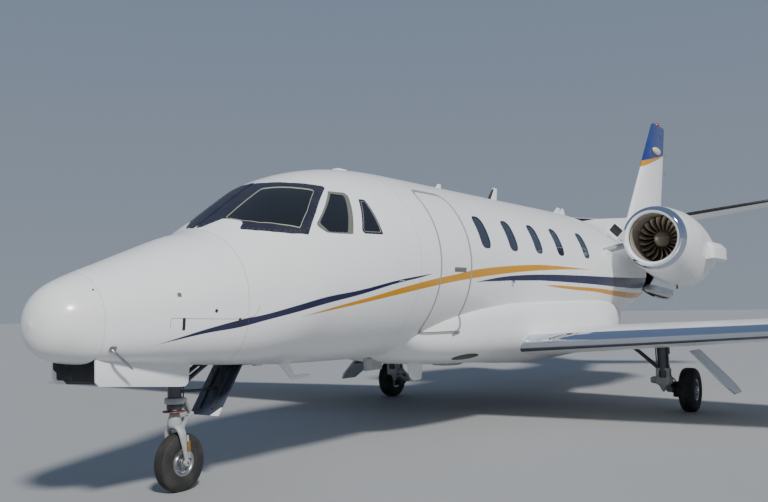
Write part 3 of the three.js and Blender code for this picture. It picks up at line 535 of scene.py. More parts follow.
NAVY_REAR = [
    (4.78, 1.649, 1.649), (5.03, 1.658, 1.676), (5.38, 1.668, 1.712), (5.74, 1.678, 1.738),
    (6.13, 1.684, 1.755), (6.54, 1.69, 1.767), (7.0, 1.687, 1.775), (7.75, 1.677, 1.781),
    (8.57, 1.662, 1.783), (9.23, 1.645, 1.783), (9.63, 1.635, 1.784), (11.2, 1.64, 1.815),
    (12.4, 1.73, 1.905), (13.5, 1.925, 2.03), (14.6, 2.19, 2.191),
]
GOLD_REAR = [
    (6.67, 1.639, 1.639), (7.03, 1.616, 1.642), (7.78, 1.584, 1.631), (8.62, 1.559, 1.615),
    (9.24, 1.521, 1.592), (9.75, 1.492, 1.572), (10.8, 1.47, 1.56), (12.0, 1.52, 1.6),
    (13.0, 1.66, 1.7), (13.6, 1.79, 1.791),
]
SEAMS = (RADOME_END, NOSE_END, COCKPIT_END, CABIN_END, 11.02)
# Float curves run from 0 to 1, so stations and heights are divided by these
CURVE_LENGTH = 16
CURVE_HEIGHT = 4


def curve_node(tree, source, points):
    """A height that follows points of (station, height)."""
    made = node(tree, "ShaderNodeFloatCurve", [("Value", source)])
    curve = made.mapping.curves[0]
    pairs = [(s / CURVE_LENGTH, z / CURVE_HEIGHT) for s, z in points]
    curve.points[0].location = pairs[0]
    curve.points[-1].location = pairs[-1]
    for pair in pairs[1:-1]:
        curve.points.new(*pair)
    made.mapping.extend = "HORIZONTAL"
    made.mapping.update()
    return sums(tree, "MULTIPLY", made.outputs[0], CURVE_HEIGHT)


def station_and_height(tree):
    place = node(tree, "ShaderNodeSeparateXYZ",
        [(0, node(tree, "ShaderNodeTexCoord").outputs["Object"])])
    return place.outputs["X"], sums(tree, "ADD", place.outputs["Y"], DATUM), place.outputs["Z"]


def band_mask(tree, station, height, band, edge=0.003):
    share = sums(tree, "DIVIDE", station, CURVE_LENGTH)
    low = curve_node(tree, share, [(s, a) for s, a, b in band])
    high = curve_node(tree, share, [(s, b) for s, a, b in band])
    above = sums(tree, "DIVIDE", sums(tree, "SUBTRACT", height, low), edge, True)
    below = sums(tree, "DIVIDE", sums(tree, "SUBTRACT", high, height), edge, True)
    return sums(tree, "MULTIPLY", above, below)


def make_livery():
    tree, start, end = group("livery", [("Base", "NodeSocketColor", WHITE)],
        [("Colour", "NodeSocketColor")])
    _, station, height = station_and_height(tree)
    colour = start.outputs["Base"]
    for band, tint in ((NAVY_FRONT, NAVY), (GOLD_FRONT, GOLD), (NAVY_REAR, NAVY),
            (GOLD_REAR, GOLD)):
        colour = mixed(tree, band_mask(tree, station, height, band), colour, tint)
    for seam in SEAMS:
        away = sums(tree, "ABSOLUTE", sums(tree, "SUBTRACT", station, seam))
        colour = mixed(tree, sums(tree, "MULTIPLY", sums(tree, "LESS_THAN", away, SEAM),
            0.35 if seam < 1 else 0.75), colour,
            (0.12, 0.12, 0.13, 1))
    tree.links.new(colour, end.inputs["Colour"])
    return tree


LIVERY = make_livery()


def livery_colour(tree):
    made = node(tree, "ShaderNodeGroup", node_tree=LIVERY)
    made.inputs["Base"].default_value = WHITE
    return made.outputs["Colour"]


def fin_colour(tree):
    """White fin with a navy top and a gold line below it, both rising aft."""
    _, station, height = station_and_height(tree)
    past = sums(tree, "SUBTRACT", station, 14.1)
    edge = sums(tree, "ADD", sums(tree, "MULTIPLY", past, 0.193), 4.251)
    low = sums(tree, "ADD", sums(tree, "MULTIPLY", past, 0.254), 4.132)
    above = sums(tree, "DIVIDE", sums(tree, "SUBTRACT", height, edge), 0.003, True)
    line = sums(tree, "DIVIDE", sums(tree, "SUBTRACT", height, low), 0.003, True)
    colour = mixed(tree, line, WHITE, GOLD)
    return mixed(tree, above, colour, (0.015, 0.04, 0.2, 1))


PAINT = dict(roughness=0.28, soiling=0.08, soil=(0.5, 0.48, 0.44, 1), soil_size=0.9, spread_by=0.1,
    grain=0.02,
    grain_size=25, coat=0.15, Specular_IOR_Level=0.35)
WHITE_PAINT = finish("white_paint", WHITE, **PAINT)
LIVERY_PAINT = finish("livery_paint", WHITE, paint=livery_colour, **PAINT)
FIN_PAINT = finish("fin_paint", WHITE, paint=fin_colour, **PAINT)
RADOME_PAINT = finish("radome_paint", (0.84, 0.86, 0.84), **{**PAINT, "roughness": 0.24})
CHROME = finish("polished_metal", (0.62, 0.67, 0.78), 0.07, 1, soiling=0.12,
    soil=(0.35, 0.33, 0.3, 1), soil_size=3, spread_by=0.1, grain=0.015, grain_size=12)
BARE_METAL = finish("brushed_metal", (0.5, 0.51, 0.53), 0.34, 1, soiling=0.35,
    soil=(0.12, 0.1, 0.08, 1), soil_size=14, spread_by=0.25, grain=0.06, grain_size=220)
GREY_PAINT = finish("grey_gear_paint", (0.42, 0.43, 0.44), 0.42, 0, soiling=0.4,
    soil=(0.1, 0.085, 0.07, 1), soil_size=9, grain=0.05, grain_size=140)
DARK_METAL = finish("dark_gear_metal", (0.09, 0.095, 0.11), 0.38, 0.6, soiling=0.3,
    soil=(0.2, 0.17, 0.13, 1), soil_size=11, grain=0.06, grain_size=160)
FAN_METAL = finish("fan_titanium", (0.31, 0.27, 0.2), 0.34, 0.85, soiling=0.25,
    soil=(0.07, 0.06, 0.05, 1), soil_size=9, grain=0.05, grain_size=180)
DUCT_METAL = finish("duct_lining", (0.5, 0.45, 0.38), 0.45, 0.3, soiling=0.25,
    soil=(0.12, 0.1, 0.08, 1), soil_size=5, grain=0.1, grain_size=260)
HOT_METAL = finish("exhaust_metal", (0.3, 0.27, 0.25), 0.4, 1, soiling=0.6,
    soil=(0.06, 0.05, 0.045, 1), soil_size=4, grain=0.06, grain_size=120)
RUBBER = finish("tyre_rubber", (0.022, 0.022, 0.023), 0.78, 0, soiling=0.5,
    soil=(0.1, 0.09, 0.075, 1), soil_size=9, grain=0.3, grain_size=320)
SEAL = finish("grey_seal", (0.33, 0.35, 0.35), 0.6, 0, soiling=0.3, grain=0.1, grain_size=200)
FRAME_BLACK = finish("window_frame_paint", (0.018, 0.019, 0.035), 0.38, 0, soiling=0.15,
    soil=(0.12, 0.12, 0.14, 1), soil_size=6, grain=0.06, grain_size=150)
FRAME_GREY = finish("window_frame_grey", (0.15, 0.16, 0.14), 0.42, 0, soiling=0.3, grain=0.06,
    grain_size=150)
BOOT = finish("deicing_boot", (0.012, 0.012, 0.013), 0.42, 0, soiling=0.3,
    soil=(0.08, 0.08, 0.08, 1), grain=0.12, grain_size=160)
WELL_PAINT = finish("bay_primer", (0.52, 0.54, 0.5), 0.55, 0, soiling=0.4,
    soil=(0.15, 0.13, 0.1, 1), soil_size=5, grain=0.08, grain_size=90)
CARPET = finish("carpet", (0.28, 0.24, 0.19), 0.95, 0, soiling=0.3, grain=0.9, grain_size=420)
TRIM = finish("cabin_trim", (0.62, 0.57, 0.49), 0.6, 0, soiling=0.15, grain=0.12, grain_size=260)
LEATHER = finish("seat_leather", (0.56, 0.46, 0.33), 0.45, 0, soiling=0.25,
    soil=(0.25, 0.18, 0.1, 1), soil_size=12, grain=0.35, grain_size=380)
PANEL = finish("instrument_plastic", (0.035, 0.036, 0.04), 0.55, 0, soiling=0.15, grain=0.15,
    grain_size=240)
RED_LENS = finish("red_lens", (0.55, 0.01, 0.01), 0.12, 0, soiling=0.1, grain=0.03, coat=0.5)
AMBER = finish("amber_sleeve", (0.22, 0.12, 0.015), 0.4, 0, soiling=0.3, soil_size=20)


def glazing(name, tint, weight):
    material = finish(name, tint, 0.04, soiling=0.05, spread_by=0.03, grain=0.004, grain_size=8,
        coat=0.3)
    shader = material.node_tree.nodes["Principled BSDF"]
    shader.inputs["Transmission Weight"].default_value = weight
    shader.inputs["IOR"].default_value = 1.45
    return material


COCKPIT_GLASS = glazing("cockpit_glass", (0.11, 0.13, 0.16), 0.9)
CABIN_GLASS = glazing("cabin_glass", (0.14, 0.18, 0.28), 0.85)
DARK_LINING = finish("dark_lining", (0.03, 0.032, 0.04), 0.8, soiling=0.1, grain=0.3,
    grain_size=220)
OLIVE_SEAL = finish("sealant", (0.42, 0.43, 0.33), 0.6, soiling=0.3, grain=0.1, grain_size=200)
BLACK_PAINT = finish("black_paint", (0.02, 0.021, 0.024), 0.45, soiling=0.15, grain=0.06,
    grain_size=150)
LENS = glazing("clear_lens", (0.85, 0.88, 0.9), 0.9)


def piece(obj, name, material, body="airframe", stands=(), angle=35,
        smooth=True):
    """Names a finished mesh, gives it its material and ties it to its body."""
    use(obj)
    bpy.ops.object.transform_apply(location=True, rotation=True, scale=True)
    obj.name = obj.data.name = name
    obj.data.materials.clear()
    obj.data.materials.append(material)
    if smooth:
        bpy.ops.object.shade_smooth_by_angle(angle=math.radians(angle))
    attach(obj, body)
    if stands:
        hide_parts(*stands)
    return obj


def pair(obj, name, material, body="airframe", slot="white_paint", stands=(), angle=35):
    """A left piece and its mirror image. An asterisk in the body or nodes becomes left or right."""
    other = flipped(obj)
    for made, side in ((obj, "left"), (other, "right")):
        nodes = [n.replace("*", side) for n in stands]
        piece(made, f"{name}_{side}", material, body.replace("*", side), nodes, angle)
    return obj, other


def dress(material, *names):
    """Gives CAD nodes that stay their material."""
    for name in names:
        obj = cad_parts[name]
        obj.data.materials.clear()
        obj.data.materials.append(material)


# Fuselage skins
WELL = dict(half=0.24, back=2.15, roof=1.33, back_roof=1.18)
WINDSCREEN = [
    (-0.002, 1.725), (0.048, 1.64), (0.091, 1.664), (0.131, 1.722), (0.181, 1.808), (0.336, 1.866),
    (0.358, 1.85),
    (0.375, 1.785), (0.471, 1.886), (0.554, 2.004), (0.628, 2.138), (0.692, 2.288), (0.633, 2.465),
    (0.506, 2.764), (0.481, 2.786), (0.429, 2.702), (0.301, 2.525), (0.135, 2.399), (-0.002, 2.365),
]
WINDSCREEN_PANE = [
    (0.195, 1.821), (0.337, 1.874), (0.443, 1.957), (0.555, 2.104), (0.64, 2.237), (0.596, 2.392),
    (0.486, 2.638),
    (0.399, 2.514), (0.309, 2.406), (0.191, 2.28), (0.187, 2.091),
]
FRONT_SIDE = [(2.77, 2.444), (2.947, 2.442), (2.953, 2.407), (2.772, 2.045), (2.606, 2.041),
    (2.48, 2.045),
    (2.408, 2.097), (2.419, 2.126)]
FRONT_SIDE_PANE = [(2.767, 2.417), (2.903, 2.412), (2.898, 2.384), (2.717, 2.056), (2.508, 2.053),
    (2.452, 2.12),
    (2.459, 2.142)]
REAR_SIDE = [(3.051, 2.388), (3.127, 2.39), (3.166, 2.061), (2.917, 2.057), (2.896, 2.087)]
REAR_SIDE_PANE = [(3.064, 2.366), (3.114, 2.364), (3.144, 2.083), (2.934, 2.078), (2.92, 2.096)]
CABIN_WINDOWS = (5.13, 5.85, 6.585, 7.3, 8.25)
OPPOSITE_DOOR_WINDOW = 4.4
DOOR = [(4.083, 1.14), (4.705, 1.14), (4.705, 2.578), (4.083, 2.578)]
DOOR_CORNER = 0.11
BAGGAGE = [(11.3, 1.6), (12.2, 1.69), (12.2, 2.11), (11.3, 2.11)]
CLEAR = 0.006


def window_outline(station, inset=0):
    half = 0.116
    corners = [(station - half, 2.022), (station + half, 2.022), (station + half, 2.384),
        (station - half, 2.384)]
    return rounded(corners, 0.095, inset)


def both_sides(points, near, far):
    return joined(across(points, near, far), across(points, -far, -near))


def well_block(front, back, roof):
    return block(at(-WELL["half"], front, 0.6), at(WELL["half"], back, roof))


def make_nose():
    tip = [0.16, 0.163, 0.168, 0.174, 0.182, 0.192, 0.205, 0.22, 0.24, 0.262, 0.288, 0.318, 0.35,
        0.39, 0.43, 0.47]
    piece(hull([*tip, RADOME_END - SEAM]), "nose_cap", RADOME_PAINT,
        stands=["radome"], angle=50)
    nose = hull(steps_between(RADOME_END, NOSE_END - SEAM / 2, 0.04))
    carve(nose, well_block(RADOME_END - 0.001, NOSE_END + 0.001, WELL["roof"]))
    piece(nose, "nose_skin", LIVERY_PAINT, stands=["nose_section"])


def make_cockpit():
    shell = hull(steps_between(NOSE_END, COCKPIT_END - SEAM, 0.035))
    room = hull(steps_between(NOSE_END + 0.06, COCKPIT_END + 0.06, 0.06), -0.05)
    carve(room, block(at(-2, 1, 0), at(2, 4, 1.25)))
    carve(shell, room)
    carve(shell, well_block(NOSE_END - 0.01, WELL["back"], WELL["back_roof"]))
    for side in (1, -1):
        outline = rounded([(side * x, s) for x, s in WINDSCREEN], 0.02)
        carve(shell, upright(outline, 1.85, 2.9))
    for outline, corner in ((FRONT_SIDE, 0.03), (REAR_SIDE, 0.03)):
        carve(shell, both_sides(rounded(outline, corner), 0.3, 1.2))
    piece(shell, "cockpit_skin", LIVERY_PAINT, stands=["cockpit_shell"])
    pad = tube(at(0, 2.42, 0.95), at(0, 2.42, 0.915), 0.045, edge=0.002)
    piece(pad, "nose_jack_pad", BARE_METAL)


def row_of_screws(outline, depth, place, name, spacing=0.045):
    """Flush screw heads along a line on the fuselage, spaced evenly."""
    points = [Vector(p) for p in outline]
    spots, carry = [], 0
    for a, b in zip(points, points[1:] + points[:1]):
        length = (b - a).length
        while carry < length:
            spots.append(a + (b - a) * (carry / length))
            carry += spacing
        carry -= length
    heads = []
    for u, v in spots:
        if place == "plan":
            if u < 0.02:
                continue
            spot = at(u, v, hull_z(u, v))
        else:
            spot = at(hull_x(u, v), u, v)
        top, bottom, half, widest = spread(HULL, spot.y + DATUM)
        reach = top - widest if spot.z > widest else widest - bottom
        out = Vector((spot.x / half**2, 0, (spot.z - widest) / reach**2)).normalized()
        heads.append(tube(spot - out * 0.002, spot + out * depth, 0.0042, sides=8))
    pair(joined(*heads), name, BARE_METAL, slot="gear_metal")


def make_cockpit_windows():
    """Screwed frames around the panes, black or grey."""
    stations = steps_between(1.6, 3.25, 0.025)
    lining = hull_shell(steps_between(NOSE_END + 0.065, COCKPIT_END - 0.01, 0.04), -0.0505, -0.058)
    carve(lining, block(at(-2, 1, 0), at(2, 4, 1.252)))
    for side in (1, -1):
        carve(lining, upright(rounded([(side * x, s) for x, s in WINDSCREEN], 0.02), 1.85, 2.9))
    for outline in (FRONT_SIDE, REAR_SIDE):
        carve(lining, both_sides(rounded(outline, 0.03), 0.3, 1.2))
    piece(lining, "cockpit_lining", DARK_LINING)
    for outline, pane_outline, name, place, frame_paint in (
        (WINDSCREEN, WINDSCREEN_PANE, "windscreen", "plan", FRAME_BLACK),
        (FRONT_SIDE, FRONT_SIDE_PANE, "side_window_front", "side", FRAME_GREY),
        (REAR_SIDE, REAR_SIDE_PANE, "side_window_rear", "side", FRAME_BLACK),
    ):
        near = min(s for _, s in outline) if place == "plan" else min(s for s, _ in outline)
        cut_out = upright if place == "plan" else across
        limits = (1.85, 2.9) if place == "plan" else (0.2, 1.2)
        rows = [s for s in stations if s > near - 0.08]
        ring = hull_shell(rows, 0.001, -0.018)
        carve(ring, cut_out(rounded(outline, 0.02, 0.001), *limits), "INTERSECT")
        carve(ring, cut_out(rounded(pane_outline, 0.022), *limits))
        pair(ring, f"{name}_frame", frame_paint)
        if name != "side_window_front":
            line = hull_shell(rows, 0.0018, -0.006)
            carve(line, cut_out(rounded(pane_outline, 0.022, -0.003), *limits), "INTERSECT")
            carve(line, cut_out(rounded(pane_outline, 0.022, 0.0005), *limits))
            pair(line, f"{name}_seal", OLIVE_SEAL if name == "windscreen" else SEAL)
        row_of_screws(rounded(outline, 0.02, 0.014), 0.0022, place, f"{name}_screws")
        pane = hull_shell(rows, -0.004, -0.012)
        carve(pane, cut_out(rounded(pane_outline, 0.022, -0.006), *limits), "INTERSECT")
        pair(pane, f"{name}_pane", COCKPIT_GLASS, slot="dark_glass", stands=[f"{name}_*"])


def fairing_ring(station, grow=0, sides=96):
    half, up, down = spread(FAIRING, station)
    ring = []
    for i in range(sides):
        angle = 2 * math.pi * i / sides
        cosine, sine = math.cos(angle), math.sin(angle)
        out = math.copysign(abs(cosine) ** (2 / 3), cosine) * (half + grow)
        rise = math.copysign(abs(sine) ** (2 / 3), sine) * ((up if sine > 0 else down) + grow)
        ring.append(at(out, station, 1.19 + rise))
    return ring


FAIRING = [
    [3.88, 0.52, 0.03, 0.13],
    [4.3, 0.705, 0.15, 0.355],
    [4.7, 0.8, 0.26, 0.41],
    [5.3, 0.88, 0.34, 0.445],
    [6.0, 0.935, 0.372, 0.475],
    [7.3, 0.975, 0.375, 0.55],
    [8.6, 0.975, 0.375, 0.53],
    [9.4, 0.93, 0.345, 0.45],
    [9.9, 0.84, 0.29, 0.35],
    [10.35, 0.66, 0.16, 0.215],
    [10.7, 0.38, 0.02, 0.06],
]


def fairing_form(grow=0):
    return skin([fairing_ring(s, grow) for s in steps_between(3.88, 10.7, 0.07)])


def make_cabin():
    stations = steps_between(COCKPIT_END, CABIN_END - SEAM, 0.05)
    shell = hull_shell(stations, 0, -0.05, 112)
    windows = [window_outline(s) for s in CABIN_WINDOWS]
    for outline in windows:
        carve(shell, both_sides(outline, 0.3, 1.2))
    carve(shell, across(window_outline(OPPOSITE_DOOR_WINDOW), -1.2, -0.3))
    carve(shell, across(rounded(DOOR, DOOR_CORNER, -0.024), 0.25, 1.3))
    piece(shell, "cabin_skin", LIVERY_PAINT, stands=["cabin_shell"])
    lining = hull_shell(steps_between(COCKPIT_END, CABIN_END - 0.07, 0.1), -0.0505, -0.06)
    for outline in windows:
        carve(lining, both_sides(outline, 0.3, 1.2))
    carve(lining, across(window_outline(OPPOSITE_DOOR_WINDOW), -1.2, -0.3))
    carve(lining, across(rounded(DOOR, DOOR_CORNER, -0.024), 0.25, 1.3))
    piece(lining, "cabin_lining", TRIM)
    for at_end in (COCKPIT_END - 0.05, CABIN_END - 0.06):
        wall = skin([hull_ring(s, -0.052, 64) for s in (at_end, at_end + 0.03)])
        if at_end < 4:
            carve(wall, block(at(-0.28, 3, 1.26), at(0.28, 4, 2.55)))
        piece(wall, f"cabin_bulkhead_{'front' if at_end < 4 else 'rear'}", TRIM)

    seal = hull_shell(steps_between(3.98, 4.82, 0.03), 0.0015, -0.03, 112)
    carve(seal, across(rounded(DOOR, DOOR_CORNER, -0.0235), 0.25, 1.3), "INTERSECT")
    carve(seal, across(rounded(DOOR, DOOR_CORNER, 0.0005), 0.2, 1.4))
    piece(seal, "door_seal", SEAL)
    low_seal = fairing_form(0.0015)
    carve(low_seal, fairing_form(-0.03))
    carve(low_seal, hull(steps_between(3.8, 5.4, 0.05), 0.002, 112))
    carve(low_seal, across(rounded(DOOR, DOOR_CORNER, -0.0235), 0.25, 1.3), "INTERSECT")
    carve(low_seal, across(rounded(DOOR, DOOR_CORNER, 0.0005), 0.2, 1.4))
    piece(low_seal, "door_seal_low", SEAL)

    panes = []
    for side, outlines in ((1, windows), (-1, [*windows, window_outline(OPPOSITE_DOOR_WINDOW)])):
        glass = None
        for outline in outlines:
            middle = sum(s for s, _ in outline) / len(outline)
            made = hull_shell([middle - 0.15, middle - 0.05, middle + 0.05, middle + 0.15], -0.004,
                -0.014, 112)
            carve(made, across(window_outline(middle, 0.0105), side * 0.3, side * 1.2), "INTERSECT")
            glass = made if glass is None else joined(glass, made)
        name = "left" if side == 1 else "right"
        panes.append(piece(glass, f"cabin_glass_{name}", CABIN_GLASS,
            stands=[f"cabin_glazing_{name}"]))
        rims = []
        for outline in outlines:
            middle = sum(s for s, _ in outline) / len(outline)
            rim = hull_shell(steps_between(middle - 0.15, middle + 0.15, 0.05), 0.0006, -0.016, 112)
            carve(rim, across(window_outline(middle, 0.0005), side * 0.3, side * 1.2), "INTERSECT")
            carve(rim, across(window_outline(middle, 0.011), side * 0.3, side * 1.3))
            rims.append(rim)
        piece(joined(*rims), f"cabin_window_rims_{name}", FRAME_BLACK)
    blinds = []
    for middle, low in ((6.585, 2.135), (7.3, 2.15)):
        shade = hull_shell(steps_between(middle - 0.13, middle + 0.13, 0.05), -0.03, -0.034, 112)
        cut = [(middle - 0.112, low), (middle + 0.112, low), (middle + 0.112, 2.44),
            (middle - 0.112, 2.44)]
        blinds.append(carve(shade, across(rounded(cut, 0.02), 0.3, 1.2), "INTERSECT"))
    piece(joined(*blinds), "window_blinds", TRIM)


def make_door_and_fairing():
    body = hull(steps_between(3.8, 10.8, 0.05), SEATED, 112)
    belly = fairing_form()
    carve(belly, body, keep=True)
    carve(belly, across(rounded(DOOR, DOOR_CORNER, -0.024), 0.25, 1.3))
    piece(belly, "belly_skin", WHITE_PAINT, stands=["belly_fairing"])
    drop(body)

    door = hull_shell(steps_between(3.98, 4.82, 0.04), 0, -0.05, 112)
    step = fairing_form()
    carve(step, hull(steps_between(3.8, 5.4, 0.05), -0.05, 112))
    carve(door, step, "UNION")
    carve(door, across(rounded(DOOR, DOOR_CORNER, CLEAR), 0.25, 1.3), "INTERSECT")
    piece(door, "cabin_door_panel", LIVERY_PAINT, "cabin_door", ["cabin_door"])


def make_tail_cone():
    stations = steps_between(CABIN_END, TAIL_END, 0.08)
    shell = hull_shell(stations, 0, -0.045, 112)
    end = [hull_ring(s, grow, 112) for s, grow in ((TAIL_END - 0.03, -0.03), (TAIL_END, -0.001),
        (TAIL_END + 0.03, -0.03))]
    carve(shell, across(rounded(BAGGAGE, 0.06), 0.25, 1.3))
    piece(shell, "tail_skin", LIVERY_PAINT, stands=["tail_cone"])
    piece(skin(end), "tail_cap", WHITE_PAINT)


def turned_about(obj, start, end, angle):
    axis = (end - start).normalized()
    obj.data.transform(Matrix.Translation(start) @ Matrix.Rotation(angle, 4,
        axis) @ Matrix.Translation(-start))
    return obj


def baggage_colour(tree):
    return mixed(tree, sums(tree, "LESS_THAN", station_and_height(tree)[0], 0.96), WHITE, NAVY)


def make_baggage_door():
    start = at(hull_x(11.3, 1.6) + 0.006, 11.3, 1.596)
    end = at(hull_x(12.2, 1.69) + 0.006, 12.2, 1.686)
    panel = hull_shell(steps_between(11.2, 12.3, 0.05), 0, -0.02, 112)
    outline = rounded(BAGGAGE, 0.06, CLEAR)
    carve(panel, across(outline, 0.25, 1.3), "INTERSECT")
    carve(panel, block(at(0, 12.184, 1), at(2, 12.4, 3)))
    corners = [at(hull_x(s, z) - 0.034, s, z) for s, z in ((11.3, 1.6), (12.2, 1.69), (11.3, 2.11))]
    across_it = (corners[1] - corners[0]).cross(corners[2] - corners[0])
    flat, deep = [], []
    for s, z in rounded(BAGGAGE, 0.06, CLEAR + 0.003):
        if s > 12.18:
            s = 12.18
        x = corners[0].x - (across_it.y * (s - 11.3) + across_it.z * (z - 1.6)) / across_it.x
        flat.append(at(x, s, z))
        deep.append(at(hull_x(s, z) - 0.0205, s, z))
    pan = skin([flat, deep])
    for obj in (panel, pan):
        turned_about(obj, start, end, math.radians(102))
    piece(panel, "baggage_door_panel", finish("baggage_door_paint", WHITE, paint=baggage_colour,
        **PAINT),
        "baggage_door", ["baggage_door"])
    piece(pan, "baggage_door_pan", WHITE_PAINT, "baggage_door")


# Wings and tail
WING = [
    [0.5, 6.03, 3.26, 0.925, 0.105],
    [3.3, 6.2, 2.485, 1.078, 0.1],
    [8.38, 6.51, 1.06, 1.371, 0.095],
    [8.53, 6.56, 0.935, 1.38, 0.08],
    [8.585, 6.72, 0.64, 1.383, 0.05],
]
FLAP = dict(inner=1.08, outer=5.56, hinge=0.74, swings=(-9, -18, -27, -35))
AILERON = dict(inner=5.64, outer=8.23, hinge=0.76, swings=(-20, 20))
FIN = [
    [2.3, 12.489, 2.693, 0.085],
    [3.08, 13.17, 2.21, 0.085],
    [5.1, 14.945, 0.99, 0.085],
    [5.165, 15.01, 0.94, 0.07],
    [5.196, 15.12, 0.8, 0.03],
]
RUDDER = dict(inner=3.33, outer=4.93, hinge=0.7, swings=(-22, -11, 11, 22))
STABILIZER = [
    [0.0, 13.43, 1.54, 2.94, 0.09],
    [1.6, 13.985, 1.17, 3.17, 0.09],
    [3.2, 14.54, 0.79, 3.399, 0.08],
    [3.275, 14.64, 0.64, 3.409, 0.05],
]
ELEVATOR = dict(inner=0.19, outer=3.14, hinge=0.68, swings=(-18, 6, 10, 14, 18))


def foil_half(u, thickness):
    rise = 0.2969 * math.sqrt(u) - 0.126 * u - 0.3516 * u**2 + 0.2843 * u**3 - 0.1036 * u**4
    return 5 * thickness * rise + 0.0016 * u


def foil(thickness, steps=28):
    spots = [(1 + math.cos(math.pi * i / steps)) / 2 for i in range(steps + 1)]
    top = [(u, foil_half(u, thickness)) for u in spots]
    return top + [(u, -w) for u, w in reversed(top[:-1])]


def wing_form(rows, grow=0):
    rings = []
    for x, front, chord, z, thickness in rows:
        ring = []
        for u, w in foil(thickness):
            ring.append(at(x, front - grow + u * (chord + 2 * grow),
                z + w * chord + math.copysign(grow, w)))
        rings.append(ring)
    return skin(rings)


def fin_form(grow=0):
    rings = []
    for z, front, chord, thickness in FIN:
        ring = []
        for u, w in foil(thickness):
            ring.append(at(w * chord + math.copysign(grow, w),
                front - grow + u * (chord + 2 * grow), z))
        rings.append(ring)
    return skin(rings)


def row_at(rows, distance):
    k = max(next(i for i, row in enumerate(rows) if row[0] > distance) - 1, 0)
    part = (distance - rows[k][0]) / (rows[k + 1][0] - rows[k][0])
    return [a + part * (b - a) for a, b in zip(rows[k], rows[k + 1])]


def hinge_at(rows, distance, share):
    row = row_at(rows, distance)
    height = row[3] if len(row) > 4 else 0
    return distance, row[1] + share * row[2], height, foil_half(share, row[-1]) * row[2]


def split(surface, grown, rows, control, upward=False, low=False):
    """Cuts a control surface out of a wing or tail form: the moving piece and what stays."""
    inner, outer = (hinge_at(rows, control[end], control["hinge"]) for end in ("inner", "outer"))
    slope = (outer[1] - inner[1]) / (outer[0] - inner[0])
    if upward:
        start, end = at(0, inner[1], inner[0]), at(0, outer[1], outer[0])
    else:
        drop_by = 1 if low else 0
        start = at(inner[0], inner[1], inner[2] - drop_by * inner[3])
        end = at(outer[0], outer[1], outer[2] - drop_by * outer[3])

    def region(grow, forward):
        near, far = control["inner"] - grow, control["outer"] + grow
        line = [inner[1] + slope * (d - inner[0]) - forward for d in (near, far)]
        if upward:
            return across([(line[0], near), (line[1], far), (line[1] + 3, far),
                (line[0] + 3, near)], -0.9, 0.9)
        return upright([(near, line[0]), (far, line[1]), (far, line[1] + 3), (near, line[0] + 3)],
            0, 5)

    def round_nose(grow):
        along = (end - start).normalized() * grow
        return tube(start - along, end + along, inner[3] + grow, outer[3] + grow, 48)

    ahead_by = CLEAR if low else 0
    moving = copy_of(surface)
    carve(moving, region(0, 0), "INTERSECT")
    if not low:
        carve(moving, round_nose(-0.0005), "UNION")
    wedge = carve(grown, region(CLEAR, ahead_by), "INTERSECT")
    for angle in control["swings"]:
        carve(surface, turned_about(copy_of(wedge), start, end, math.radians(angle)))
    drop(wedge)
    carve(surface, region(CLEAR, ahead_by))
    if not low:
        carve(surface, round_nose(CLEAR))
    return moving, surface


def make_wings():
    wing = wing_form(WING)
    body = hull(steps_between(5.5, 10.8, 0.1), SEATED, 96)
    carve(wing, body)
    belly = fairing_form(SEATED)
    carve(wing, belly)
    edge_line = [(0.4, 5.0), (0.4, 6.03 + 0.17), (3.3, 6.2 + 0.13), (8.45, 6.52 + 0.065),
        (8.45, 5.0)]
    edge = carve(copy_of(wing), upright(edge_line, 0, 5), "INTERSECT")
    carve(wing, upright(edge_line, 0, 5))
    flap, fixed = split(wing, wing_form(WING, CLEAR), WING, FLAP, low=True)
    aileron, fixed = split(fixed, wing_form(WING, CLEAR), WING, AILERON)
    pair(fixed, "wing_skin", WHITE_PAINT, stands=["wing_*"], angle=30)
    pair(edge, "wing_leading_edge", CHROME, slot="polished_edge", angle=50)
    pair(flap, "flap_skin", WHITE_PAINT, "flap_*", "surface_paint", ["flap_*"], angle=30)
    pair(aileron, "aileron_skin", WHITE_PAINT, "aileron_*", "surface_paint", ["aileron_*"],
        angle=30)


# Fin root fairing: station, height of its ridge, and half width and height of its lower edge
DORSAL = [
    [8.74, 2.76, 0.42, 2.64],
    [8.83, 2.789, 0.47, 2.665],
    [9.068, 2.789, 0.56, 2.61],
    [9.259, 2.787, 0.635, 2.544],
    [9.552, 2.784, 0.69, 2.473],
    [9.893, 2.778, 0.715, 2.425],
    [10.286, 2.772, 0.72, 2.378],
    [10.46, 2.775, 0.712, 2.355],
    [11.29, 2.872, 0.64, 2.27],
    [12.04, 2.943, 0.52, 2.215],
    [13.04, 3.034, 0.3, 2.24],
    [13.45, 3.09, 0.19, 2.27],
]


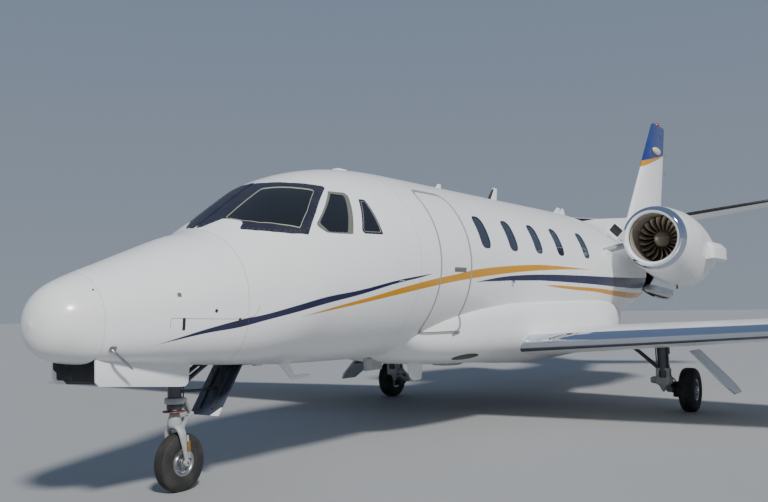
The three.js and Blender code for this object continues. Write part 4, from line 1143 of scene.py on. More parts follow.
def make_fin():
    form = fin_form()
    rudder, fixed = split(form, fin_form(CLEAR), FIN, RUDDER, upward=True)
    carve(fixed, hull(steps_between(12, 15.3, 0.1), SEATED))
    for side in (1, -1):
        plane = wing_form(STABILIZER, 0.0004)
        if side == -1:
            plane.data.transform(Matrix.Scale(-1, 4, Vector((1, 0, 0))))
            plane.data.flip_normals()
        carve(fixed, plane)
    piece(fixed, "fin_skin", FIN_PAINT, stands=["fin"], angle=30)
    piece(rudder, "rudder_skin", FIN_PAINT, "rudder", ["rudder"], angle=30)
    rings = []
    for station in steps_between(8.74, 13.44, 0.08):
        ridge, half, low = spread(DORSAL, station)
        tent = []
        for share in (1, 0.97, 0.85, 0.7, 0.55, 0.4, 0.28, 0.18, 0.1, 0.05, 0.02):
            hollow = 0.1 * min(1, max(0, (station - 10.2) / 1.5)) * math.sin(math.pi * share)
            tent.append((half * share, ridge - (ridge - low) * (share + hollow) + 0.004 * min(0,
                share - 0.06)))
        flank = [(half * 0.8, low - 0.1), *tent]
        rings.append([at(x, station, z) for x, z in flank] + [at(-x, station, z) for x,
            z in reversed(flank)])
    piece(skin(rings), "fin_fillet", WHITE_PAINT, angle=30)


def make_stabilizer():
    form = wing_form(STABILIZER)
    boot_line = [(-0.1, 13.0), (-0.1, 13.43 + 0.06), (0.0, 13.49), (3.21, 14.6), (3.21, 13.5),
        (0.5, 12.9)]
    boot = carve(wing_form(STABILIZER, 0.0008), upright(boot_line, 0, 5), "INTERSECT")
    elevator, fixed = split(form, wing_form(STABILIZER, CLEAR), STABILIZER, ELEVATOR)
    carve(fixed, upright([(x, s) for x, s in boot_line], 0, 5))
    pair(fixed, "stabilizer_skin", WHITE_PAINT, angle=30)
    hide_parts("stabilizer")
    pair(boot, "stabilizer_boot", BOOT)
    pair(elevator, "elevator_skin", WHITE_PAINT, "elevator_*", "surface_paint", ["elevator_*"],
        angle=30)


# Engines
ENGINE = (1.6, 2.33)
NACELLE = [
    [9.2, 0.458, 0.458, 0.458, 0.458],
    [9.5, 0.47, 0.525, 0.468, 0.49],
    [9.9, 0.47, 0.61, 0.468, 0.5],
    [10.5, 0.445, 0.68, 0.435, 0.51],
    [11.1, 0.4, 0.66, 0.39, 0.49],
    [11.7, 0.345, 0.58, 0.345, 0.44],
    [12.3, 0.3, 0.44, 0.3, 0.37],
]
BORE = [[9.2, 0.357], [10.2, 0.357], [10.7, 0.35], [11.2, 0.33], [12.3, 0.27]]
POD = [
    [10.62, 0.1],
    [10.7, 0.155],
    [11.1, 0.17],
    [11.56, 0.15],
    [11.9, 0.08],
]
FAN_STATION = 9.62
FAN_BLADES = 20
CORE_VANES = 24


def curve_through(points, steps=8, closed=False):
    """Points of a smooth line through the given points."""
    points = [Vector(p) for p in points]
    ends = (points[-1:] + points + points[:2]) if closed else (points[:1] + points + points[-1:])
    out = []
    spans = len(points) if closed else len(points) - 1
    for k in range(spans):
        a, b, c, d = ends[k : k + 4]
        for i in range(steps):
            t = i / steps
            out.append(0.5 * (2 * b + (c - a) * t + (2 * a - 5 * b + 4 * c - d) * t**2
                + (3 * b - a - 3 * c + d) * t**3))
    if not closed:
        out.append(points[-1])
    return out


def engine_lathe(profile, sides=96):
    """Spins (radius, station) points about the engine's axis."""
    return lathe(profile, at(ENGINE[0], 0, ENGINE[1]), (0, 1, 0), sides)


def nacelle_colour(tree):
    _, station, _ = station_and_height(tree)
    colour = WHITE
    for seam in (9.985, 11.32):
        away = sums(tree, "ABSOLUTE", sums(tree, "SUBTRACT", station, seam))
        colour = mixed(tree, sums(tree, "MULTIPLY", sums(tree, "LESS_THAN", away, 0.0015), 0.7),
            colour,
            (0.1, 0.1, 0.1, 1))
    return colour


NACELLE_PAINT = finish("nacelle_paint", WHITE, paint=nacelle_colour, **PAINT)


def drift(station):
    """How far the nacelle's middle has moved inboard and down from the fan's axis."""
    share = max(0, (station - 9.8) / 2.5) ** 2
    return Vector((-0.13 * share, 0, -0.09 * share))


def nacelle_ring(station, inner=None, sides=96):
    top, bottom, outboard, inboard = spread(NACELLE, station)
    ring = []
    for i in range(sides):
        angle = 2 * math.pi * i / sides
        cosine, sine = math.cos(angle), math.sin(angle)
        if inner:
            ring.append(at(ENGINE[0] + cosine * inner, station, ENGINE[1] + sine * inner))
        else:
            x = ENGINE[0] + cosine * (outboard if cosine > 0 else inboard)
            ring.append(at(x, station, ENGINE[1] + sine * (top if sine > 0 else bottom)))
    return [spot + drift(station) for spot in ring]


def blade_ring(share, sides=14):
    """A blade's section at a share of its height: thin, cambered, twisted and leaning."""
    radius = 0.098 + share * (0.336 - 0.098)
    twist = math.radians(22 + 40 * share**0.8)
    chord = 0.072 + 0.045 * share
    lean = math.radians(-9 * math.sin(math.pi * share * 0.9))
    sweep = 0.018 * math.sin(math.pi * share) - 0.02 * share**2
    ring = []
    for i in range(sides):
        angle = 2 * math.pi * i / sides
        along = math.cos(angle) * chord / 2
        camber = 0.09 * chord * (1 - (2 * along / chord) ** 2)
        across_it = math.sin(angle) * (0.0042 - 0.0022 * share) + camber
        tangent = along * math.sin(twist) + across_it * math.cos(twist)
        axial = along * math.cos(twist) - across_it * math.sin(twist) + sweep
        theta = lean + tangent / radius
        ring.append(at(ENGINE[0] + radius * math.sin(theta), FAN_STATION + axial,
            ENGINE[1] + radius * math.cos(theta)))
    return ring


def around_engine(part, count):
    """A piece and its copies, spaced evenly around the engine's axis and joined."""
    middle = at(ENGINE[0], 0, ENGINE[1])
    to_axis, back = Matrix.Translation(-middle), Matrix.Translation(middle)
    copies = [part]
    for i in range(1, count):
        other = copy_of(part)
        other.data.transform(back @ Matrix.Rotation(2 * math.pi * i / count, 4, "Y") @ to_axis)
        copies.append(other)
    return joined(*copies)


def make_engines():
    stations = steps_between(9.2, 12.3, 0.05)
    bore = steps_between(9.2, 12.3, 0.1)
    rings = [nacelle_ring(s) for s in stations]
    rings += [nacelle_ring(s, spread(BORE, s)[0]) for s in reversed(bore)]
    cowl = skin(rings, caps=False)
    pod_rings = []
    for s in steps_between(POD[0][0], POD[-1][0], 0.06):
        reach = spread(POD, s)[0]
        corners = [(1.82, 2.062), (1.94 + reach, 2.062), (1.94 + reach, 2.25),
            (1.9 + reach * 0.7, 2.335), (1.82, 2.335)]
        pod_rings.append([at(x, s, z) for x, z in rounded(corners, 0.022)])
    pod = skin(pod_rings)
    aft_bore = steps_between(10.5, 12.2, 0.1)
    carve(pod, skin([nacelle_ring(s, spread(BORE, s)[0] + 0.002) for s in aft_bore]))
    pair(cowl, "nacelle_cowl", NACELLE_PAINT, slot="engine_paint", stands=["nacelle_*"])
    pair(pod, "nacelle_pod", WHITE_PAINT, slot="engine_paint")
    duct = [nacelle_ring(s, spread(BORE, s)[0] - 0.007) for s in bore]
    duct += [nacelle_ring(s, spread(BORE, s)[0] - 0.0005) for s in reversed(bore)]
    pair(skin(duct, caps=False), "duct_liner", DUCT_METAL, slot="engine_metal")
    lip = curve_through([(0.386, 9.0452), (0.405, 9.052), (0.424, 9.07), (0.4395, 9.115),
        (0.45, 9.155),
        (0.4575, 9.1985)], 6)
    lip += [Vector((0.42, 9.1985)), Vector((0.386, 9.11))]
    pair(engine_lathe([tuple(p) for p in lip], 128), "intake_lip_ring", CHROME,
        slot="polished_edge",
        stands=["intake_lip_*"], angle=60)
    collar = curve_through([(0.3505, 9.1985), (0.35, 9.098), (0.354, 9.07), (0.37, 9.051),
        (0.3855, 9.0452)], 6)
    collar += [Vector((0.3855, 9.11)), Vector((0.419, 9.1985))]
    pair(engine_lathe([tuple(p) for p in collar], 128), "intake_collar", WHITE_PAINT,
        slot="engine_paint", angle=60)
    pair(engine_lathe([(0.3505, 9.13), (0.3475, 9.132), (0.3475, 9.172), (0.3505, 9.174)], 128),
        "duct_front_ring",
        BLACK_PAINT, slot="engine_metal")

    spinner = curve_through([(0.0, 9.3), (0.03, 9.322), (0.072, 9.44), (0.112, 9.572)], 6)
    profile = [tuple(p) for p in spinner] + [(0.112, 9.668), (0.0, 9.668)]
    pair(engine_lathe(profile, 64), "fan_spinner", DUCT_METAL, "fan_*", "fan_metal")
    blades = around_engine(skin([blade_ring(i / 14) for i in range(15)]), FAN_BLADES)
    pair(blades, "fan_blades", FAN_METAL, "fan_*", "fan_metal", ["fan_*"], angle=60)
    core = [(0, 9.672), (0.09, 9.672), (0.13, 9.78), (0.215, 10.0), (0.235, 10.3), (0.235, 11.2),
        (0.19, 11.7),
        (0.15, 12.05), (0.06, 12.35), (0, 12.43)]
    casing = engine_lathe(core, 64)
    for spot in casing.data.vertices:
        spot.co += drift(spot.co.y + DATUM)
    pair(casing, "core_casing", HOT_METAL, slot="engine_metal", stands=["engine_core_*"])
    vane = block(at(1.594, 9.885, 2.416), at(1.606, 10.015, 2.679), 0.004)
    pair(around_engine(vane, CORE_VANES), "core_vanes", DUCT_METAL, slot="engine_metal")

    pylon_rows = [[0.6, 8.86, 3.3, 2.08, 0.072], [1.3, 9.3, 2.8, 2.29, 0.068]]
    pylon = wing_form(pylon_rows)
    # A grey band along the pylon's leading edge.
    band = wing_form(pylon_rows, 0.0012)
    carve(band, upright([(0.5, 8.6), (0.5, 8.86), (1.4, 9.43), (1.4, 9.0)], 1.5, 3), "INTERSECT")
    for made in (pylon, band):
        carve(made, hull(steps_between(8.6, 12.6, 0.1), SEATED))
        carve(made, skin([nacelle_ring(s) for s in stations]))
        carve(made, across(rounded(BAGGAGE, 0.06, -0.008), 0.3, 1.3))
    pair(pylon, "pylon_skin", WHITE_PAINT, stands=["pylon_*"])
    root = []
    for s, low, out in ((9.05, 2.11, 0.93), (9.16, 2.01, 0.99), (9.33, 1.889, 1.08),
            (9.42, 1.807, 1.1),
            (9.75, 1.815, 1.1), (10.14, 1.833, 1.1), (10.99, 1.863, 1.09), (11.16, 1.95, 1.06),
            (11.23, 2.1, 1.0)):
        high = 2.08 + 0.3 * (out - 0.6)
        foot, tip, bend = at(hull_x(s, low) + 0.002, s, low), at(out, s,
            high - 0.03), at(hull_x(s, low) + 0.03, s, high - 0.05)
        curve = [foot.lerp(bend, t / 8).lerp(bend.lerp(tip, t / 8), t / 8) for t in range(9)]
        root.append([at(0.8, s, low + 0.01), *curve, at(out, s, high), at(0.8, s, high)])
    root = carve(skin(root), hull(steps_between(8.6, 12.6, 0.1), SEATED))
    pair(root, "pylon_root_fairing", WHITE_PAINT, angle=40)
    pair(band, "pylon_edge_seal", SEAL)


# The scene around the aircraft

SUN_TURN = Vector((-0.62, 0.45, -0.64)).to_track_quat("-Z", "Y").to_euler()


def make_stage():
    bpy.ops.object.select_all(action="DESELECT")
    bpy.ops.mesh.primitive_plane_add(size=160, location=(0, 30, 0))
    floor = bpy.context.object
    bpy.ops.object.transform_apply(location=True)
    floor.name = "floor"
    floor.data.materials.append(finish("floor_paint", (0.37, 0.38, 0.385), 0.8, soiling=0.08,
        soil=(0.5, 0.5, 0.5, 1),
        soil_size=0.4, grain=0.02, grain_size=6))

    world = bpy.data.worlds.new("soft_studio")
    bpy.context.scene.world = world
    world.use_nodes = True
    tree = world.node_tree
    place = node(tree, "ShaderNodeSeparateXYZ",
        [(0, node(tree, "ShaderNodeTexCoord").outputs["Generated"])])
    rise = node(tree, "ShaderNodeMapRange", [(0, place.outputs["Z"])], in_1=0.0, in_2=0.5)
    sky = mixed(tree, rise.outputs[0], (0.33, 0.38, 0.45, 1), (0.2, 0.27, 0.4, 1))
    tree.links.new(sky, tree.nodes["Background"].inputs["Color"])
    tree.nodes["Background"].inputs["Strength"].default_value = 0.8

    bpy.ops.object.light_add(type="SUN", rotation=SUN_TURN)
    bpy.context.object.data.energy = 3.8
    bpy.context.object.data.angle = math.radians(7)
    bpy.context.object.data.color = (1.0, 0.97, 0.92)


# Landing gear

def hose(points, radii, sides=20, squash=1.0):
    """A round or flattened bar along a line of points, with a radius at each point."""
    points = [Vector(p) for p in points]
    radii = list(radii) if hasattr(radii, "__len__") else [radii] * len(points)
    rings = []
    side = Vector((1, 0, 0))
    for i, point in enumerate(points):
        along = (points[min(i + 1, len(points) - 1)] - points[max(i - 1, 0)]).normalized()
        side = (side - along * side.dot(along)).normalized()
        up = along.cross(side)
        rings.append([
            point + (side * math.cos(a) * squash + up * math.sin(a)) * radii[i]
            for a in (2 * math.pi * k / sides for k in range(sides))
        ])
    return skin(rings)


def ladder(start, end, half, end_half, thick, window=0.55):
    """A tapered link between two pins across the aircraft, with an opening in its middle."""
    start, end = Vector(start), Vector(end)
    along = end - start
    over_it = Vector((1, 0, 0)).cross(along).normalized() * thick
    across_it = Vector((1, 0, 0))
    corners = [start - across_it * half, start + across_it * half, end + across_it * end_half,
        end - across_it * end_half]
    link = prism([c - over_it / 2 for c in corners], over_it)
    bevel(link, thick * 0.25)
    low, high = start + along * (0.5 - window / 2), start + along * (0.5 + window / 2)
    widths = [half + (end_half - half) * (0.5 + sign * window / 2) for sign in (-1, 1)]
    hole = [low - across_it * widths[0] * 0.5, low + across_it * widths[0] * 0.5,
        high + across_it * widths[1] * 0.5, high - across_it * widths[1] * 0.5]
    carve(link, prism([c - over_it for c in hole], over_it * 2))
    reach = Vector((1, 0, 0))
    for pin, wide in ((start, half), (end, end_half)):
        link = joined(link, tube(pin - reach * (wide + 0.004), pin + reach * (wide + 0.004),
            thick * 0.62, sides=24,
            edge=0.002))
    return link


def tyre_profile(radius, half, bead, rim_half, grooves):
    """A tyre's section, drawn as one half and mirrored: side wall, shoulder, ribs and grooves."""
    wall = [
        (bead - 0.003, rim_half * 0.86), (bead + 0.006, rim_half * 1.01),
        (bead + 0.02, half * 0.93),
        (bead + 0.34 * (radius - bead), half), (bead + 0.62 * (radius - bead), half * 0.985),
        (bead + 0.8 * (radius - bead), half * 0.9), (bead + 0.91 * (radius - bead), half * 0.76),
    ]
    wall = [tuple(p) for p in curve_through(wall, 3)]
    crown = []
    for groove in sorted(grooves, reverse=True):
        top = radius - 0.022 * radius * (groove / half) ** 2 * 1.6
        crown += [(top, groove + 0.0035), (top - 0.007, groove + 0.0025),
            (top - 0.007, groove - 0.0025),
            (top, groove - 0.0035)]
    side = wall + [(radius * 0.986, half * 0.58)] + crown
    return side + [(r, -x) for r, x in reversed(side)]


def make_wheel(hub, radius, half, bead, rim_half, grooves, holes):
    """A tyre, a rim with round openings in its web, and a cap with bolts."""
    tyre = lathe(tyre_profile(radius, half, bead, rim_half, grooves), hub, (1, 0, 0), 96)
    low = bead - 0.01
    web = rim_half * 0.26
    side = [
        (0.036, rim_half * 1.06), (0.044, rim_half * 1.06), (0.05, web + 0.01), (0.062, web),
        (low - 0.02, web), (low - 0.01, web + 0.012), (low - 0.006, rim_half * 0.86),
        (low, rim_half * 0.97),
        (bead + 0.004, rim_half * 1.0), (bead + 0.005, rim_half * 0.93),
        (bead - 0.0035, rim_half * 0.84),
    ]
    rim = lathe(side + [(r, -x) for r, x in reversed(side)], hub, (1, 0, 0), 96)
    middle = (low - 0.02 + 0.062) / 2
    size = min((low - 0.02 - 0.062) / 2 * 0.8, math.pi * middle / holes * 0.62)
    cutters = []
    for i in range(holes):
        angle = 2 * math.pi * i / holes
        spot = Vector(hub) + Vector((0, math.cos(angle), math.sin(angle))) * middle
        cutters.append(tube(spot - Vector((0.2, 0, 0)), spot + Vector((0.2, 0, 0)), size, sides=20))
    carve(rim, joined(*cutters))
    bevel(rim, 0.0012, 1, 50)
    cap = lathe([(0.0, rim_half * 0.5), (0.03, rim_half * 0.5), (0.034, rim_half * 1.08),
        (0.027, rim_half * 1.2),
        (0.0, rim_half * 1.24)], hub, (1, 0, 0), 40)
    bolts = []
    for i in range(holes):
        angle = 2 * math.pi * (i + 0.5) / holes
        spot = Vector(hub) + Vector((web, math.cos(angle) * middle, math.sin(angle) * middle))
        bolts.append(tube(spot - Vector((0.002, 0, 0)), spot + Vector((0.007, 0, 0)), 0.006,
            sides=6, edge=0.001))
    return tyre, rim, joined(cap, *bolts)


# Stations of the nose leg and its axle, and the axle's height
NOSE_LEG = 1.452
NOSE_AXLE = 1.503
NOSE_HUB = 0.22655


def make_nose_gear():
    axle = at(0, NOSE_AXLE, NOSE_HUB)
    tyre, rim, cap = make_wheel(axle, 0.2285, 0.056, 0.104, 0.047, (0.013, 0.036), 8)
    other = flipped(cap)
    piece(tyre, "nose_tyre_tread", RUBBER, "nose_wheel", ["nose_tyre"])
    piece(rim, "nose_wheel_rim", BARE_METAL, "nose_wheel", ["nose_rim"])
    piece(joined(cap, other), "nose_wheel_caps", BARE_METAL, "nose_wheel")

    strut = lathe([
        (0.038, 0.6403), (0.06, 0.6403), (0.062, 0.648), (0.062, 0.672), (0.057, 0.68),
        (0.054, 0.7),
        (0.054, 0.905), (0.06, 0.915), (0.06, 0.955), (0.054, 0.965), (0.054, 1.075),
        (0.066, 1.095),
        (0.066, 1.18), (0.058, 1.19), (0.038, 1.19),
        ], at(0, NOSE_LEG, 0), (0, 0, 1), 48)
    for start, end, radius in (
        (at(-0.2397, NOSE_LEG, 1.14), at(0.2397, NOSE_LEG, 1.14), 0.034),
        (at(-0.2397, 2.0, 1.11), at(0.2397, 2.0, 1.11), 0.02),
        (at(-0.06, 1.482, 0.83), at(0.06, 1.482, 0.83), 0.022),
    ):
        strut = joined(strut, tube(start, end, radius, edge=0.003))
    for x in (-0.046, 0.046):
        brace = hose([at(x, 1.482, 0.83), at(x, 1.7, 0.946), at(x, 2.0, 1.11)],
            (0.02, 0.017, 0.022), 24)
        strut = joined(strut, brace)
    strut = joined(strut, tube(at(-0.055, 1.74, 0.97), at(0.055, 1.74, 0.97), 0.016, edge=0.002))
    for side in (-1, 1):
        line = curve_through([at(side * 0.04, 1.5, 1.1), at(side * 0.047, NOSE_AXLE, 0.95),
            at(side * 0.04, 1.508, 0.8),
            at(side * 0.046, 1.5, 0.7)], 6)
        strut = joined(strut, hose(line, 0.0055, 10))
        strut = joined(strut, tube(at(side * 0.075, 1.4, 0.885), at(side * 0.075, 1.53, 0.885),
            0.022, edge=0.003))
    piece(strut, "nose_leg_strut", DARK_METAL, stands=["nose_leg"])

    fork = lathe([(0.0, 0.5), (0.046, 0.5), (0.058, 0.52), (0.052, 0.56), (0.04, 0.6),
        (0.037, 0.612),
        (0.0, 0.612)], at(0, NOSE_LEG, 0), (0, 0, 1), 48)
    arch = curve_through([
        at(-0.084, NOSE_AXLE, 0.2), at(-0.084, 1.5, 0.25), at(-0.084, 1.484, 0.33),
        at(-0.083, 1.466, 0.41),
        at(-0.075, 1.456, 0.468), at(-0.045, NOSE_LEG, 0.503), at(0.0, NOSE_LEG, 0.51),
        at(0.045, NOSE_LEG, 0.503),
        at(0.075, 1.456, 0.468), at(0.083, 1.466, 0.41), at(0.084, 1.484, 0.33),
        at(0.084, 1.5, 0.25),
        at(0.084, NOSE_AXLE, 0.2),
        ], 5)
    radii = [0.02 + 0.017 * max(0, min(1, (p.z - 0.25) / 0.22)) for p in arch]
    radii[0] = radii[-1] = 0.012
    arms = hose(arch, radii, 24, 0.52)
    carve(fork, arms, "UNION")
    for side in (-1, 1):
        carve(fork, tube(at(side * 0.07, NOSE_AXLE, NOSE_HUB),
            at(side * 0.096, NOSE_AXLE, NOSE_HUB), 0.03, 0.027, edge=0.003),
            "UNION")
        carve(fork, tube(at(side * 0.03, 1.488, 0.5), at(side * 0.052, 1.488, 0.5), 0.026,
            edge=0.003), "UNION")
    bevel(fork, 0.002, 1, 40)
    piece(fork, "nose_fork_arms", GREY_PAINT, "nose_steering", ["nose_fork"],
        angle=45)
    piston = tube(at(0, NOSE_LEG, 0.6), at(0, NOSE_LEG, 0.645), 0.033, sides=48)
    axle_bar = joined(piston, tube(at(-0.096, NOSE_AXLE, NOSE_HUB), at(0.096, NOSE_AXLE, NOSE_HUB),
        0.015, edge=0.002))
    piece(axle_bar, "nose_piston_and_axle", CHROME, "nose_steering")
    sleeves = None
    for side in (-1, 1):
        sleeve = hose([at(side * 0.1, 1.5, 0.395), at(side * 0.1, 1.507, 0.318)], 0.017, 24)
        bevel(sleeve, 0.003)
        sleeves = sleeve if sleeves is None else joined(sleeves, sleeve)
    piece(sleeves, "nose_fork_sleeves", AMBER, "nose_steering")
    rods = []
    for side in (-1, 1):
        rods.append(tube(at(side * 0.1, 1.493, 0.44), at(side * 0.1, 1.512, 0.27), 0.008,
            edge=0.001))
        rods.append(tube(at(side * 0.082, 1.512, 0.272), at(side * 0.106, 1.512, 0.272), 0.011,
            edge=0.001))
    links = [
        ladder(at(0, 1.49, 0.505), at(0, 1.622, 0.59), 0.052, 0.02, 0.026),
        ladder(at(0, 1.526, 0.705), at(0, 1.622, 0.59), 0.046, 0.014, 0.024),
    ]
    collar = lathe([(0.0585, 0.684), (0.076, 0.684), (0.078, 0.69), (0.078, 0.722), (0.074, 0.729),
        (0.0585, 0.729)],
        at(0, NOSE_LEG, 0), (0, 0, 1), 48)
    ears = [block(at(x - 0.012, 1.505, 0.686), at(x + 0.012, 1.54, 0.726), 0.006) for x in (-0.034,
        0.034)]
    piece(joined(*rods, *links, collar, *ears), "nose_torque_links", GREY_PAINT, "nose_steering",
        angle=40)
    disc = lathe([(0.034, 0.618), (0.088, 0.62), (0.09, 0.624), (0.088, 0.628), (0.034, 0.628)],
        at(0, 1.446, 0),
        (0, 0, 1), 40)
    piece(disc, "nose_spray_disc", finish("rust_brown_paint", (0.22, 0.055, 0.03), 0.55,
        soiling=0.3, soil_size=20),
        "nose_steering")


def bay_door_colour(tree):
    x, station, height = station_and_height(tree)
    inner = sums(tree, "LESS_THAN", sums(tree, "ABSOLUTE", x), 0.223)
    past = sums(tree, "GREATER_THAN", sums(tree, "ADD", station, height), 1.52)
    return mixed(tree, sums(tree, "MULTIPLY", inner, past), WHITE, (0.04, 0.045, 0.06, 1))


# Painted shade: the white plate is painted dark blue-grey where the nose shades it. Only its lower
# left-hand corner, beyond the painted shadow's diagonal edge, stays white.
def strut_door_shaded_colour(tree):
    x, _, height = station_and_height(tree)
    corner = sums(tree, "SUBTRACT", sums(tree, "MULTIPLY", x, 0.8), height)
    return mixed(tree, sums(tree, "GREATER_THAN", corner, -0.5), (0.045, 0.055, 0.085, 1), WHITE)


def make_nose_doors():
    """Two long side doors with a pan inside, and a plate behind the leg."""
    front, back = 0.508, 1.385
    line = [(front, 1.13), (front + 0.004, 0.93), (front + 0.03, 0.902), (back - 0.1, 0.838),
        (back - 0.05, 0.838),
        (back - 0.02, 0.86), (back, 1.026)]
    outline = rounded(line, 0.012)
    panel = across(outline, 0.2307 - 0.009, 0.2307 + 0.009)
    inset = rounded(line, 0.03, 0.028)
    carve(panel, across(inset, 0.2, 0.2307 - 0.003))
    bevel(panel, 0.003, 2, 50)
    paint = finish("bay_door_paint", WHITE, paint=bay_door_colour, **PAINT)
    pair(panel, "nose_door_panel", paint, "nose_door_*", "surface_paint", ["nose_door_*"], 40)
    lining = across(rounded(line, 0.03, 0.029), 0.2307 - 0.006, 0.2307 - 0.0031)
    ribs = [lining]
    for s in (0.66, 0.88, 1.1, 1.28):
        top = 1.1 - (s - front) * 0.115
        ribs.append(block(at(0.2235, s - 0.012, 0.905 - (s - front) * 0.07),
            at(0.228, s + 0.012, top - 0.02), 0.001))
    for s in (0.62, 0.95, 1.27):
        ribs.append(block(at(0.2215, s - 0.018, 1.04 - (s - front) * 0.1),
            at(0.2275, s + 0.018, 1.115 - (s - front) * 0.1),
            0.002))
    pair(joined(*ribs), "nose_door_lining", DARK_METAL, "nose_door_*", "surface_paint")

    plate_line = [(1.76, 0.56), (1.785, 0.556), (2.08, 0.96), (2.055, 0.968)]
    plate = across(plate_line, -0.152, 0.152)
    bevel(plate, 0.004)
    # The plate's paint carries painted shade: dark blue-grey except a white lower corner.
    paint = finish("strut_door_paint_and_shade", WHITE, paint=strut_door_shaded_colour, **PAINT)
    piece(plate, "nose_strut_door_plate", paint, stands=["nose_strut_door"])
    slope = Vector((0, 2.055 - 1.76, 0.968 - 0.56)).normalized()
    lean = Vector((0, -slope.z, slope.y))
    pads = []
    for x in (-0.075, 0.075):
        start = at(x, 1.76, 0.56) + slope * 0.06
        corners = [start - Vector((0.012, 0, 0)), start + Vector((0.012, 0, 0)),
            start + Vector((0.012, 0, 0)) + slope * 0.38,
            start - Vector((0.012, 0, 0)) + slope * 0.38]
        pads.append(bevel(prism(corners, lean * 0.014), 0.003))
    rod = hose([at(0, 1.48, 0.775), at(0, 1.7, 0.765), at(0, 1.925, 0.765)], (0.014, 0.011, 0.014),
        16)
    lugs = [tube(at(-0.03, 1.935, 0.765), at(0.03, 1.935, 0.765), 0.018, edge=0.002),
        tube(at(-0.03, 1.49, 0.775), at(0.03, 1.49, 0.775), 0.018, edge=0.002)]
    piece(joined(*pads, rod, *lugs), "nose_strut_door_frame", DARK_METAL)


def make_main_gear():
    hub = at(2.27, 8.183, 0.27711)
    tyre, rim, cap = make_wheel(hub, 0.2795, 0.098, 0.128, 0.08, (0.018, 0.05), 9)
    pair(tyre, "main_tyre_tread", RUBBER, "main_wheel_*", "tyre_rubber", ["main_tyre_*"])
    pair(rim, "main_wheel_rim", BARE_METAL, "main_wheel_*", "wheel_metal", ["main_rim_*"])
    pair(cap, "main_wheel_cap", BARE_METAL, "main_wheel_*", "wheel_metal")

    leg = hose(
        [at(2.03, 7.82, 1.0), at(2.03, 7.826, 0.93), at(2.03, 7.845, 0.74), at(2.03, 7.872, 0.5),
            at(2.03, 7.88, 0.44)],
        (0.078, 0.074, 0.07, 0.072, 0.066), 36,
    )
    leg = joined(leg, tube(at(1.93, 7.82, 0.965), at(2.15, 7.82, 0.965), 0.045, edge=0.004))
    leg = joined(leg, hose([at(1.975, 7.868, 0.56), at(1.72, 7.885, 0.77), at(1.41, 7.9, 1.0)],
        (0.026, 0.024, 0.028), 24))
    leg = joined(leg, tube(at(1.96, 7.868, 0.545), at(1.99, 7.868, 0.575), 0.04, edge=0.004))
    for points in (
        [at(2.085, 7.79, 0.98), at(2.105, 7.8, 0.8), at(2.095, 7.83, 0.6), at(2.11, 7.9, 0.47),
            at(2.105, 8.05, 0.42), at(2.11, 8.14, 0.37)],
        [at(1.965, 7.78, 0.98), at(1.955, 7.8, 0.78), at(1.96, 7.82, 0.58), at(1.975, 7.8, 0.46)],
    ):
        leg = joined(leg, hose(curve_through(points, 5), 0.008, 10))
    pair(leg, "main_leg_post", DARK_METAL, slot="gear_metal", stands=["main_leg_*"])

    frame_line = [(1.945, 0.575), (2.115, 0.575), (2.115, 0.36), (1.945, 0.36)]
    yoke = lengthways(rounded(frame_line, 0.03), 7.8, 7.905)
    carve(yoke, lengthways(rounded([(1.985, 0.545), (2.075, 0.545), (2.075, 0.45), (1.985, 0.45)],
        0.015), 7.7, 7.86))
    bevel(yoke, 0.005)
    cross_tube = tube(at(1.885, 7.875, 0.415), at(2.13, 7.875, 0.415), 0.046, edge=0.006)
    end_cap = tube(at(1.862, 7.875, 0.415), at(1.886, 7.875, 0.415), 0.034, 0.04, edge=0.005)
    carve(yoke, cross_tube, "UNION")
    link_line = [(7.835, 0.385), (7.86, 0.352), (7.94, 0.34), (8.16, 0.238), (8.215, 0.236),
        (8.238, 0.262),
        (8.235, 0.32), (8.1, 0.42), (7.93, 0.468), (7.86, 0.46)]
    link = across(rounded(link_line, 0.02), 1.988, 2.072)
    for x in (1.95, 2.052):
        carve(link, across(rounded([(7.965, 0.372), (8.13, 0.295), (8.15, 0.33), (8.08, 0.385),
            (7.97, 0.42)], 0.01),
            x, x + 0.058))
    bevel(link, 0.006)
    castings = joined(yoke, end_cap, link)
    toe = prism([at(1.965, 7.825, 0.365), at(2.065, 7.825, 0.365), at(2.03, 7.85, 0.27),
        at(2.01, 7.85, 0.27)],
        (0, 0.045, 0))
    bevel(toe, 0.006)
    for bolt_x in (1.958, 2.102):
        for z in (0.385, 0.56):
            castings = joined(castings, tube(at(bolt_x, 7.792, z), at(bolt_x, 7.802, z), 0.01,
                sides=6, edge=0.001))
    pair(joined(castings, toe), "main_leg_castings", GREY_PAINT, slot="gear_metal", angle=40)

    barrel = hose([at(2.03, 8.035, 0.742), at(2.03, 7.99, 1.0)], 0.04, 32)
    barrel = joined(barrel, tube(at(1.99, 8.11, 0.35), at(2.07, 8.11, 0.35), 0.03, edge=0.004))
    rod = hose([at(2.03, 8.11, 0.35), at(2.03, 8.034, 0.745)], 0.026, 32)
    pair(barrel, "main_shock_barrel", DARK_METAL, slot="gear_metal")
    pair(rod, "main_shock_rod", CHROME, slot="gear_metal")
    brake_disc = []
    for x in (2.08, 2.098, 2.116, 2.134, 2.152):
        brake_disc.append(tube(at(x, 8.183, 0.27711), at(x + 0.01, 8.183, 0.27711), 0.102, sides=48,
            edge=0.001))
    for i in range(6):
        angle = math.radians(60 * i + 15)
        spot = at(0, 8.183, 0.27711) + Vector((0, math.cos(angle), math.sin(angle))) * 0.078
        brake_disc.append(tube(spot + Vector((2.062, 0, 0)), spot + Vector((2.09, 0, 0)), 0.02,
            sides=24, edge=0.003))
    brake_disc.append(tube(at(2.03, 8.183, 0.27711), at(2.17, 8.183, 0.27711), 0.045, edge=0.004))
    pair(joined(*brake_disc), "main_brake_stack", DARK_METAL, slot="gear_metal")
    pair(tube(at(2.16, 8.183, 0.27711), at(2.344, 8.183, 0.27711), 0.027, edge=0.003), "main_axle",
        BARE_METAL,
        slot="gear_metal")


